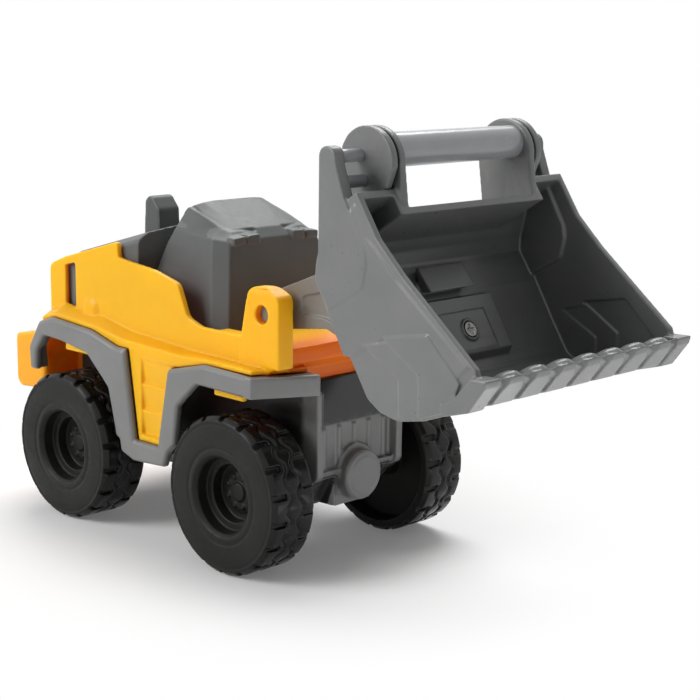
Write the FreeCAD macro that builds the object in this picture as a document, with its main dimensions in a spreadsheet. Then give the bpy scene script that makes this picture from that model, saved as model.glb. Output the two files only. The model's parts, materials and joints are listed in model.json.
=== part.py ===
"""Toy front loader: a parametric FreeCAD document with one object for each moulded or turned piece.

Frame: +X points forward to the bucket, +Y to the vehicle's left and +Z up. The origin lies on the
floor, midway between the rear bumper and the tips of the bucket's teeth. Sizes are millimetres.
"""
import FreeCAD
import Part
import math
import os
import Sketcher
from FreeCAD import Placement, Rotation, Vector

SIZES = {
    # Wheels and axles.
    "front_axle_x": 10.0,
    "wheelbase": 92.0,
    "wheel_radius": 28.0,
    "wheel_width": 19.2,
    "wheel_face_y": 47.6,
    "tyre_shoulder": 1.6,
    "lug_height": 1.6,
    "lug_gap": 2.2,
    "lug_length": 6.0,
    "lug_count": 18.0,
    "dish_radius": 13.2,
    "dish_lead": 1.4,
    "dish_step_radius": 10.2,
    "dish_step_depth": 5.6,
    "dish_depth": 9.8,
    "hub_radius": 6.2,
    "hub_rise": 0.9,
    "hub_boss_radius": 7.4,
    "wheel_web": 2.2,
    "rim_wall": 2.6,
    "axle_radius": 2.0,
    "axle_cap": 1.6,
    "journal_clearance": 0.08,
    "press_grip": 0.02,
    "part_gap": 0.3,
    # Chassis tub.
    "wall": 2.2,
    "tub_rear_x": -104.0,
    "tub_front_x": 27.0,
    "tub_half_width": 21.4,
    "tub_bottom_z": 20.5,
    "tub_top_z": 66.0,
    "tub_bevel_width": 7.0,
    "tub_bevel_height": 6.6,
    "journal_radius": 4.2,
    "front_plate_top_z": 50.0,
    "front_plate_lean": 4.0,
    "flange_front_x": 31.0,
    "flange_width": 3.2,
    "differential_radius": 9.2,
    "differential_height": 1.6,
    "rib_width": 1.8,
    "rib_height": 0.9,
    "rib_pitch": 7.4,
    # Fenders.
    "fender_face_y": 44.4,
    "fender_lip": 2.8,
    "fender_plate": 2.4,
    "fender_band": 7.2,
    "fender_front_x": 22.0,
    "sweep_front_x": 33.2,
    "front_fender_z": 71.0,
    "rear_fender_z": 75.6,
    "middle_z": 70.0,
    "step_top_z": 37.0,
    "step_bottom_z": 29.6,
    "step_rear_x": -50.0,
    "step_front_x": -24.0,
    "fender_round": 2.0,
    "fender_edge": 0.9,
    # Yellow body.
    "body_half_width": 37.0,
    "body_rear_x": -102.0,
    "body_floor_z": 68.2,
    "tail_length": 10.0,
    "slope_length": 32.6,
    "hood_rear_z": 98.8,
    "hood_front_z": 107.8,
    "belt_z": 82.6,
    "deck_z": 79.4,
    "deck_front_x": 26.0,
    "deck_undercut": 4.0,
    "tower_inner_y": 30.6,
    "tower_outer_y": 37.6,
    "tower_top_z": 100.6,
    "ledge_y": 42.2,
    "ledge_height": 1.6,
    "ledge_flare": 3.4,
    "panel_thickness": 4.2,
    "louvre_depth": 1.7,
    "louvre_count": 3.0,
    "screw_rear_x": -88.0,
    "screw_front_x": -8.0,
    "screw_y": 10.5,
    "screw_radius": 1.3,
    "screw_head_radius": 2.6,
    "screw_head_height": 1.8,
    "screw_length": 13.0,
    "screw_sink": 3.0,
    "screw_well": 5.0,
    "post_radius": 3.2,
    # Cab, hood and stack.
    "cab_front_x": -7.4,
    "cab_rear_x": -50.0,
    "cab_half_width": 31.4,
    "cab_corner": 6.4,
    "cab_lean": 0.16,
    "eave_front_z": 111.4,
    "eave_rear_z": 115.0,
    "eave_rear_x": -42.0,
    "cab_knee_z": 96.0,
    "roof_front_z": 114.8,
    "roof_rear_z": 122.0,
    "roof_front_x": -18.0,
    "roof_rear_x": -40.6,
    "roof_half_width": 19.2,
    "roof_crown": 1.0,
    "lamp_width": 5.8,
    "lamp_pitch": 6.8,
    "hood_half_width": 34.4,
    "hood_crown": 2.8,
    "hood_edge": 1.2,
    "stack_top_z": 121.0,
    "stack_front_x": -74.5,
    "stack_length": 8.4,
    "stack_width": 10.6,
    # Counterweight.
    "counterweight_rear_x": -130.0,
    "counterweight_bottom_z": 42.6,
    "counterweight_top_z": 67.8,
    "counterweight_gap": 5.3,
    "counterweight_edge": 2.0,
    # Lift arm.
    "pivot_x": 19.8,
    "pivot_z": 91.3,
    "pivot_radius": 3.1,
    "arm_outer_y": 27.8,
    "arm_plate": 3.8,
    "hinge_x": 63.5,
    "hinge_z": 88.0,
    "hinge_pin_radius": 2.0,
    # Bucket.
    "rim_x": 75.7,
    "rim_z": 137.8,
    "bucket_half_width": 50.0,
    "bucket_wall": 2.4,
    "side_plate": 0.8,
    "terrace_pitch": 8.4,
    "terrace_step": 0.3,
    "lip_half_width": 52.0,
    "tooth_tip_x": 130.0,
    "tooth_tip_z": 88.8,
    "tooth_width": 9.8,
    "tooth_pitch": 12.5,
    "rim_step_width": 17.6,
    "ear_radius": 11.3,
    "ear_x": 66.4,
    "ear_z": 145.3,
    "ear_plate": 2.6,
    "ear_proud": 0.4,
    "ear_gap": 1.0,
    "rod_radius": 5.5,
    "rod_x": 69.4,
    "rod_z": 149.0,
    "rod_spigot_radius": 3.0,
    "cross_pin_radius": 2.1,
    "upper_pin_x": 63.6,
    "upper_pin_z": 147.4,
    "lower_pin_x": 65.0,
    "lower_pin_z": 139.6,
    "hinge_pad_half_width": 11.0,
    "pad_top_reach": 12.1,
    "pad_top_rise": 7.6,
    "pad_foot_reach": 19.0,
    "pad_foot_drop": 3.9,
    "boss_height": 1.0,
    "boss_sink": 1.8,
    "hinge_screw_length": 11.4,
    "tooth_length": 9.6,
}

doc = FreeCAD.newDocument("ToyFrontLoader")
sheet = doc.addObject("Spreadsheet::Sheet", "Sizes")
for row, (alias, number) in enumerate(SIZES.items(), start=1):
    sheet.set(f"A{row}", alias)
    sheet.set(f"B{row}", str(number))
    sheet.setAlias(f"B{row}", alias)
doc.recompute()


class Size:
    """A number together with the spreadsheet expression that gives it."""

    def __init__(self, value, text):
        self.value = value
        self.text = text

    def __add__(self, other):
        other = as_size(other)
        return Size(self.value + other.value, f"({self.text} + {other.text})")

    def __sub__(self, other):
        other = as_size(other)
        return Size(self.value - other.value, f"({self.text} - {other.text})")

    def __mul__(self, other):
        other = as_size(other)
        return Size(self.value * other.value, f"({self.text} * {other.text})")

    def __truediv__(self, other):
        other = as_size(other)
        return Size(self.value / other.value, f"({self.text} / {other.text})")

    def __radd__(self, other):
        return as_size(other) + self

    def __rsub__(self, other):
        return as_size(other) - self

    def __rmul__(self, other):
        return as_size(other) * self

    def __neg__(self):
        return as_size(0) - self


def as_size(number):
    return number if isinstance(number, Size) else Size(float(number), repr(float(number)))


class Cells:
    """Each spreadsheet cell as an attribute, such as cells.wheel_radius."""

    def __getattr__(self, alias):
        return Size(SIZES[alias], f"Sizes.{alias}")


s = Cells()


# Sketches and features -------------------------------------------------------------------------

# The sign of the world axis that a sketch on each origin plane looks along.
NORMAL_SIGN = {"XY_Plane": 1, "XZ_Plane": -1, "YZ_Plane": 1}


def new_body(label):
    body = doc.addObject("PartDesign::Body", label)
    body.Label = label
    return body


def new_sketch(body, name, role, level):
    """An empty sketch on one of the body's origin planes, moved along the world axis to level."""
    sketch = body.newObject("Sketcher::SketchObject", name)
    plane = next(f for f in body.Origin.OriginFeatures if f.Role == role)
    offset = as_size(level) * NORMAL_SIGN[role]
    sketch.AttachmentSupport = [(plane, "")]
    sketch.MapMode = "FlatFace"
    sketch.AttachmentOffset = Placement(Vector(0, 0, offset.value), Rotation())
    sketch.setExpression("AttachmentOffset.Base.z", offset.text)
    return sketch


class Rules:
    """Constraints gathered for one sketch, with the sizes that drive them."""

    def __init__(self):
        self.constraints = []
        self.sizes = {}

    def add(self, *words):
        self.constraints.append(Sketcher.Constraint(*words))

    def drive(self, size, *words):
        self.sizes[len(self.constraints)] = size
        self.add(*words, size.value)

    def pin(self, geometry, end, across, up):
        """Hold a sketch point at its place from the sketch's origin."""
        self.drive(across, "DistanceX", -1, 1, geometry, end)
        self.drive(up, "DistanceY", -1, 1, geometry, end)

    def apply(self, sketch):
        sketch.addConstraint(self.constraints)
        for index, size in self.sizes.items():
            sketch.setExpression(f"Constraints[{index}]", size.text)


def rounding(name, before, point, after, radius):
    """Where a rounded corner starts, passes its middle and ends."""
    to_before = (before - point).normalize()
    to_after = (after - point).normalize()
    half = to_before.getAngle(to_after) / 2
    reach = radius / math.tan(half)
    if reach > min((before - point).Length, (after - point).Length):
        raise ValueError(f"{name}: rounding {radius} does not fit at {point}")
    centre_way = (to_before + to_after).normalize()
    middle = point + centre_way * (radius / math.sin(half) - radius)
    return point + to_before * reach, middle, point + to_after * reach


def draw_outline(sketch, corners, rules):
    """A closed run of straight lines; a corner's third value, if any, is its rounding radius."""
    corners = [[as_size(number) for number in corner] for corner in corners]
    places = [corner[:2] for corner in corners]
    radii = [corner[2] if len(corner) > 2 else None for corner in corners]
    points = [Vector(across.value, up.value, 0) for across, up in places]
    count = len(points)
    first_line = sketch.GeometryCount
    arcs = {}
    for i, radius in enumerate(radii):
        if radius is not None:
            arcs[i] = rounding(sketch.Name, points[i - 1], points[i], points[(i + 1) % count],
                               radius.value)
    for i in range(count):
        n = (i + 1) % count
        start = arcs[i][2] if i in arcs else points[i]
        end = arcs[n][0] if n in arcs else points[n]
        if (end - start).dot(points[n] - points[i]) <= 0:
            raise ValueError(f"{sketch.Name}: roundings overlap between {points[i]} and {points[n]}")
        sketch.addGeometry(Part.LineSegment(start, end))
    geometry = first_line + count
    for i in range(count):
        incoming, outgoing = first_line + (i - 1) % count, first_line + i
        if i not in arcs:
            rules.add("Coincident", incoming, 2, outgoing, 1)
            rules.pin(outgoing, 1, *places[i])
            continue
        # An arc runs anticlockwise in a sketch, so at a hollow corner its ends change places.
        hollow = (points[i] - points[i - 1]).cross(points[(i + 1) % count] - points[i]).z < 0
        sketch.addGeometry(Part.Arc(*(arcs[i][::-1] if hollow else arcs[i])))
        first, last = (2, 1) if hollow else (1, 2)
        rules.add("Tangent", incoming, 2, geometry, first)
        rules.add("Tangent", geometry, last, outgoing, 1)
        rules.drive(radii[i], "Radius", geometry)
        sketch.addGeometry(Part.Point(points[i]), True)
        rules.pin(geometry + 1, 1, *places[i])
        rules.add("PointOnObject", geometry + 1, 1, incoming)
        rules.add("PointOnObject", geometry + 1, 1, outgoing)
        geometry += 2


def draw_circle(sketch, circle, rules):
    across, up, radius = [as_size(number) for number in circle]
    centre = Vector(across.value, up.value, 0)
    index = sketch.addGeometry(Part.Circle(centre, Vector(0, 0, 1), radius.value))
    rules.pin(index, 3, across, up)
    rules.drive(radius, "Radius", index)


def draw(sketch, shapes):
    """Draw outlines, given as lists of corners, and circles, given as (across, up, radius)."""
    rules = Rules()
    for shape in shapes:
        if isinstance(shape, list):
            draw_outline(sketch, shape, rules)
        else:
            draw_circle(sketch, shape, rules)
    rules.apply(sketch)


def extrude(body, name, role, shapes, low, high, kind):
    """A Pad or Pocket that fills or cuts from low to high along the world axis across the plane."""
    low, high = as_size(low), as_size(high)
    forward = NORMAL_SIGN[role] > 0
    pad = kind == "Pad"
    sketch = new_sketch(body, name + "_sketch", role, low if forward == pad else high)
    draw(sketch, shapes)
    feature = body.newObject(f"PartDesign::{kind}", name)
    feature.Profile = sketch
    feature.Length = (high - low).value
    feature.setExpression("Length", (high - low).text)
    feature.Refine = False
    return feature


def fill(body, name, role, shapes, low, high):
    return extrude(body, name, role, shapes, low, high, "Pad")


def clear(body, name, role, shapes, low, high):
    return extrude(body, name, role, shapes, low, high, "Pocket")


def block(body, name, role, corners, low, high):
    return fill(body, name, role, [corners], low, high)


def cut(body, name, role, corners, low, high):
    return clear(body, name, role, [corners], low, high)


def both_sides(low, high):
    """The same span on the left and on the right of the centre plane."""
    low, high = as_size(low), as_size(high)
    return (("left", low, high), ("right", -high, -low))


def rectangle(left, bottom, right, top, radius=None):
    corners = [(left, bottom), (right, bottom), (right, top), (left, top)]
    return corners if radius is None else [corner + (radius,) for corner in corners]


def ease_edges(body, name, kind, size, wanted):
    """A Fillet or Chamfer of the body's edges that wanted(edge) picks."""
    size = as_size(size)
    doc.recompute()
    tip = body.Tip
    names = [f"Edge{i}" for i, edge in enumerate(tip.Shape.Edges, start=1) if wanted(edge)]
    dressed = body.newObject(f"PartDesign::{kind}", name)
    dressed.Base = (tip, names)
    measure = "Radius" if kind == "Fillet" else "Size"
    setattr(dressed, measure, size.value)
    dressed.setExpression(measure, size.text)
    return dressed


def lies_at(axis, *levels):
    """A test for edges that lie in a plane across one axis at any of the levels."""
    def wanted(edge):
        box = edge.BoundBox
        low, high = getattr(box, f"{axis}Min"), getattr(box, f"{axis}Max")
        middle = (low + high) / 2
        flat = high - low < 0.25
        return flat and any(abs(middle - as_size(level).value) < 0.01 for level in levels)
    return wanted


ALONG_X, ALONG_Y = Vector(1, 0, 0), Vector(0, 1, 0)

# How far an added form reaches into the one that it joins.
EPSILON = 0.05

# The bucket's rim is stepped down between these two levels, where the ears stand.
RIM_STEP_Y = s.bucket_half_width - s.rim_step_width
EAR_Y = RIM_STEP_Y + s.ear_proud            # outer face of the bucket's own ears
EAR_PLATE_Y = EAR_Y + s.ear_gap             # inner face of the loose plates beside them


# Wheels and axles ------------------------------------------------------------------------------

def build_wheel(label):
    """One wheel about its own Y axis; the outer face is at Y = 0 and the body reaches to -Y."""
    body = new_body(label)
    tread, shoulder = s.wheel_radius, s.tyre_shoulder
    back = -s.wheel_width
    web_back = -(s.dish_depth + s.wheel_web)
    tyre_inside = tread - s.lug_height - s.rim_wall
    hub_face = s.hub_rise - s.dish_depth
    profile = [
        (0, hub_face),
        (s.hub_radius, hub_face),
        (s.hub_radius, -s.dish_depth),
        (s.dish_step_radius, -s.dish_depth),
        (s.dish_step_radius, -s.dish_step_depth),
        (s.dish_radius, -s.dish_step_depth),
        (s.dish_radius, -s.dish_lead),
        (s.dish_radius + s.dish_lead, 0),
        (tread - shoulder, 0),
        (tread, -shoulder),
        (tread, back + shoulder),
        (tread - shoulder, back),
        (tyre_inside, back),
        (tyre_inside, web_back),
        (s.hub_boss_radius, web_back),
        (s.hub_boss_radius, back),
        (0, back),
    ]
    sketch = new_sketch(body, "profile", "XY_Plane", 0)
    draw(sketch, [profile])
    turned = body.newObject("PartDesign::Revolution", "turned")
    turned.Profile = sketch
    turned.ReferenceAxis = (sketch, ["V_Axis"])
    turned.Angle = 360
    # Slots round both shoulders leave the block lugs of the tread standing, the inner row staggered.
    edge = s.lug_gap / 2
    stagger = tread * (math.pi / 2) / s.lug_count
    outer_row = rectangle(-edge, -s.lug_length, edge, 0.5)
    inner_row = rectangle(stagger - edge, back - 0.5, stagger + edge, back + s.lug_length)
    slots = clear(body, "slots", "XY_Plane", [outer_row, inner_row], tread - s.lug_height, tread + 1)
    doc.recompute()
    pattern = body.newObject("PartDesign::PolarPattern", "tread")
    pattern.Originals = [slots]
    pattern.Axis = (sketch, ["V_Axis"])
    pattern.Angle = 360
    pattern.Occurrences = int(s.lug_count.value)
    body.Tip = pattern
    clear(body, "axle_hole", "XZ_Plane", [(0, 0, s.axle_radius - s.press_grip)],
          back - 1, hub_face - s.axle_cap)
    doc.recompute()
    return body


def place(obj, x=0, y=0, z=0, turn=Rotation()):
    """Put a finished sub-part where its three sizes say."""
    where = [as_size(x), as_size(y), as_size(z)]
    obj.Placement = Placement(Vector(*[w.value for w in where]), turn)
    for axis, w in zip("xyz", where):
        obj.setExpression(f"Placement.Base.{axis}", w.text)


def build_axle(label, x):
    """A plain steel rod that both wheels of a pair are pressed on."""
    body = new_body(label)
    end = s.wheel_face_y + s.hub_rise - s.dish_depth - s.axle_cap - s.part_gap
    fill(body, "rod", "XZ_Plane", [(0, 0, s.axle_radius)], -end, end)
    place(body, x=x, z=s.wheel_radius)
    return body


def build_running_gear():
    front, rear = s.front_axle_x, s.front_axle_x - s.wheelbase
    half_turn = Rotation(Vector(0, 0, 1), 180)
    parts = []
    for end, x in (("front", front), ("rear", rear)):
        left = build_wheel(f"wheel_{end}_left")
        place(left, x, s.wheel_face_y, s.wheel_radius)
        right = build_wheel(f"wheel_{end}_right")
        place(right, x, -s.wheel_face_y, s.wheel_radius, half_turn)
        parts += [build_axle(f"{end}_axle", x), left, right]
    return parts


# Chassis ---------------------------------------------------------------------------------------

SCREW_PLACES = [(x, y) for x in (s.screw_rear_x, s.screw_front_x)
                for y in (s.screw_y, -s.screw_y)]


def around_screws(radius):
    return [(x, y, radius) for x, y in SCREW_PLACES]


def tub_section(inset, top):
    """The tub's cross-section, with bevelled lower corners, inset evenly from its outside."""
    half = s.tub_half_width - inset
    floor = s.tub_bottom_z + inset
    corner = inset * 0.4
    return [
        (-half, top),
        (-half, floor + s.tub_bevel_height - corner),
        (-half + s.tub_bevel_width - corner, floor),
        (half - s.tub_bevel_width + corner, floor),
        (half, floor + s.tub_bevel_height - corner),
        (half, top),
    ]


def build_chassis():
    body = new_body("chassis")
    none = as_size(0)
    block(body, "tub", "YZ_Plane", tub_section(none, s.tub_top_z), s.tub_rear_x, s.tub_front_x)
    # The front plate leans back above the ribbed panel.
    cut(body, "lean", "XZ_Plane", [
        (s.tub_front_x + 1, s.front_plate_top_z),
        (s.tub_front_x + 1, s.tub_top_z + 1),
        (s.tub_front_x - s.front_plate_lean, s.tub_top_z + 1),
        (s.tub_front_x - s.front_plate_lean, s.tub_top_z),
        (s.tub_front_x, s.front_plate_top_z),
    ], -s.tub_half_width - 1, s.tub_half_width + 1)
    cut(body, "inside", "YZ_Plane", tub_section(s.wall, s.tub_top_z + 1),
        s.tub_rear_x + s.wall, s.tub_front_x - s.front_plate_lean - s.wall)
    # Side flanges stand forward of the front plate like the cheeks of an axle carrier.
    flange = [
        (s.tub_front_x - 6, s.tub_bottom_z + 8),
        (s.flange_front_x - 3, s.tub_bottom_z + 8, 1.5),
        (s.flange_front_x, s.tub_bottom_z + 12, 1.5),
        (s.flange_front_x, s.tub_top_z - 2, 1),
        (s.tub_front_x - 6, s.tub_top_z - 2),
    ]
    inner = s.tub_half_width - s.flange_width
    for side, low, high in both_sides(inner, s.tub_half_width):
        block(body, f"flange_{side}", "XZ_Plane", flange, low, high)
    for side, low, high in both_sides(inner - 3, inner + 0.5):
        block(body, f"foot_{side}", "XZ_Plane", [
            (s.tub_front_x - 2, s.tub_bottom_z + 2.4),
            (s.tub_front_x + 2, s.tub_bottom_z + 8),
            (s.tub_front_x + 2, s.tub_bottom_z + 10),
            (s.tub_front_x - 2, s.tub_bottom_z + 10),
        ], low, high)
    # Differential cover and axle beam in relief, with upright ribs above them.
    beam_z = s.wheel_radius + 5
    rib_top = s.front_plate_top_z - 0.5
    ribs = []
    for index in range(-2, 3):
        across = index * s.rib_pitch
        ribs.append(rectangle(across - s.rib_width / 2, beam_z - 8,
                              across + s.rib_width / 2, rib_top))
    fill(body, "ribs", "YZ_Plane", ribs, s.tub_front_x - 1, s.tub_front_x + s.rib_height)
    block(body, "axle_beam", "YZ_Plane", rectangle(-inner - 0.4, beam_z - 1.6, inner + 0.4, beam_z + 1.6),
          s.tub_front_x - 1, s.tub_front_x + s.differential_height + 0.6)
    fill(body, "differential", "YZ_Plane", [(0, beam_z, s.differential_radius)],
         s.tub_front_x - 1, s.tub_front_x + s.differential_height)
    # Journal bosses carry the axles out to just short of the wheel hubs.
    hub_y = s.wheel_face_y - s.wheel_width - s.part_gap
    axles = [(x, s.wheel_radius) for x in (s.front_axle_x, s.front_axle_x - s.wheelbase)]
    journals = [axle + (s.journal_radius,) for axle in axles]
    for side, low, high in both_sides(s.tub_half_width - s.wall, hub_y):
        fill(body, f"journals_{side}", "XZ_Plane", journals, low, high)
    bores = [axle + (s.axle_radius + s.journal_clearance,) for axle in axles]
    clear(body, "axle_bores", "XZ_Plane", bores, -hub_y - 1, hub_y + 1)
    # Screws pass up through the floor, sunk in round wells.
    well = s.screw_head_radius + 1.4
    floor_z = s.tub_bottom_z
    fill(body, "wells", "XY_Plane", around_screws(well),
         floor_z + s.wall - 0.5, floor_z + s.screw_well)
    clear(body, "screw_holes", "XY_Plane", around_screws(s.screw_radius + s.part_gap),
          floor_z - 1, floor_z + s.screw_well + 1)
    clear(body, "screw_head_holes", "XY_Plane", around_screws(s.screw_head_radius + s.part_gap),
          floor_z - 1, floor_z + s.screw_sink)
    return body


def rod(name, radius, height):
    """A plain cylinder, standing on its origin."""
    cylinder = doc.addObject("Part::Cylinder", name)
    cylinder.setExpression("Radius", as_size(radius).text)
    cylinder.setExpression("Height", as_size(height).text)
    return cylinder


def build_screws():
    """Four self-tapping screws that hold the tub to the yellow body's posts."""
    group = []
    head_z = s.tub_bottom_z + s.screw_sink - s.screw_head_height
    for index, (x, y) in enumerate(SCREW_PLACES, start=1):
        head = rod(f"screw_head_{index}", s.screw_head_radius, s.screw_head_height)
        place(head, x, y, head_z)
        shank = rod(f"screw_shank_{index}", s.screw_radius, s.screw_length)
        place(shank, x, y, head_z)
        screw = doc.addObject("Part::Fuse", f"screw_{index}")
        screw.Base = head
        screw.Tool = shank
        group.append(screw)
    screws = doc.addObject("Part::Compound", "body_screws")
    screws.Label = "body_screws"
    screws.Links = group
    return screws


# Fenders ---------------------------------------------------------------------------------------

def build_fender(label, side):
    """One side moulding: both wheel arches, the step between them and the posts that join them."""
    body = new_body(label)
    band = s.fender_band
    rear_z, front_z, mid_z = s.rear_fender_z, s.front_fender_z, s.middle_z
    step_z, foot_z = s.step_top_z, s.step_bottom_z
    soft = s.fender_round
    rear_x = s.front_axle_x - s.wheelbase
    outer = [
        (rear_x - 24.5, 54),
        (rear_x - 25, 63, 3),
        (rear_x - 18.5, rear_z - 2.6, 3),
        (rear_x - 10.5, rear_z, 3),
        (rear_x + 14, rear_z - 1.6, 3),
        (rear_x + 29.5, mid_z, 3),
        (rear_x + 35, mid_z),
        (rear_x + 40.4, step_z),
        (s.front_axle_x - 38.4, step_z),
        (s.front_axle_x - 32.4, front_z - 4.6, 1),
        (s.front_axle_x - 13.5, front_z, 2),
        (s.fender_front_x, front_z - 0.6),
        (s.fender_front_x, front_z - band - 0.4),
        (s.front_axle_x - 16.5, front_z - band, soft),
        (s.front_axle_x - 26.8, 54.4, soft),
        (s.front_axle_x - 28.6, step_z + 3, 1),
        (s.step_front_x + 1.6, step_z - 0.6, 0.8),
        (s.step_front_x - 0.6, foot_z + 1, 1),
        (s.step_rear_x + 7.6, foot_z - 0.2, soft),
        (s.step_rear_x + 0.4, foot_z + 2.2, 1),
        (s.step_rear_x - 0.4, step_z - 0.6, 1),
        (s.step_rear_x - 2.4, step_z, 1),
        (rear_x + 25, 54.4, soft),
        (rear_x + 12, rear_z - band - 3, soft),
        (rear_x - 4, rear_z - band - 0.8, soft),
        (rear_x - 15, rear_z - band - 0.2, soft),
        (rear_x - 20, 62, soft),
        (rear_x - 20.6, 54),
    ]
    lip_in = s.fender_face_y - s.fender_lip
    plate_in = s.body_half_width + 0.2

    def span(low, high):
        return (low, high) if side > 0 else (-high, -low)

    block(body, "lip", "XZ_Plane", outer, *span(lip_in, s.fender_face_y))
    ease_edges(body, "lip_edge", "Chamfer", s.fender_edge, lies_at("Y", side * s.fender_face_y))
    plate = s.fender_plate
    block(body, "rear_plate", "XZ_Plane", [
        (rear_x - 24.5, 54),
        (rear_x - 25, 63, 3),
        (rear_x - 18.5, rear_z - 2.6, 3),
        (rear_x - 10.5, rear_z, 3),
        (rear_x + 14, rear_z - 1.6, 3),
        (rear_x + 29.5, mid_z),
        (rear_x + 28.6, mid_z - plate),
        (rear_x + 13.6, rear_z - 1.6 - plate, 3),
        (rear_x - 9.6, rear_z - plate, 3),
        (rear_x - 16.8, rear_z - 2.6 - plate, 3),
        (rear_x - 22.6, 62.4, 3),
        (rear_x - 22.1, 54),
    ], *span(plate_in, lip_in + EPSILON))
    block(body, "front_plate", "XZ_Plane", [
        (s.front_axle_x - 32.4, front_z - 4.6),
        (s.front_axle_x - 13.5, front_z, 2),
        (s.fender_front_x, front_z - 0.6),
        (s.fender_front_x, front_z - 0.6 - plate),
        (s.front_axle_x - 13, front_z - plate, 2),
        (s.front_axle_x - 31.2, front_z - 4.6 - plate),
    ], *span(plate_in, lip_in + EPSILON))
    # The front end sweeps inward to the chassis flange, under a plate of its own.
    top_z = front_z - 0.6
    end_y = s.tub_half_width + s.part_gap
    corner_x, end_x = s.fender_front_x, s.sweep_front_x
    back_x = end_x - 2.2
    sweep = [(corner_x - s.fender_lip, s.fender_face_y), (corner_x, s.fender_face_y),
             (end_x, end_y + 1.4), (end_x - 0.6, end_y), (back_x, end_y),
             (corner_x - 2.2, lip_in), (corner_x - s.fender_lip, lip_in)]
    apron_x = s.deck_front_x - s.deck_undercut + s.part_gap
    apron = [(apron_x, end_y), (back_x + EPSILON, end_y), (apron_x, lip_in - 6.4)]

    def mirrored(corners):
        return [(x, y * side) for x, y in corners]

    block(body, "sweep", "XY_Plane", mirrored(sweep), front_z - band - 0.4, top_z)
    block(body, "apron", "XY_Plane", mirrored(apron), top_z - plate, top_z)
    block(body, "step_plate", "XZ_Plane", [
        (s.step_rear_x - 1, step_z - plate),
        (s.step_rear_x - 1, step_z),
        (s.step_front_x, step_z),
        (s.step_front_x, step_z - plate),
    ], *span(s.tub_half_width + 0.1, lip_in + EPSILON))
    return body


# Yellow body -----------------------------------------------------------------------------------

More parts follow.
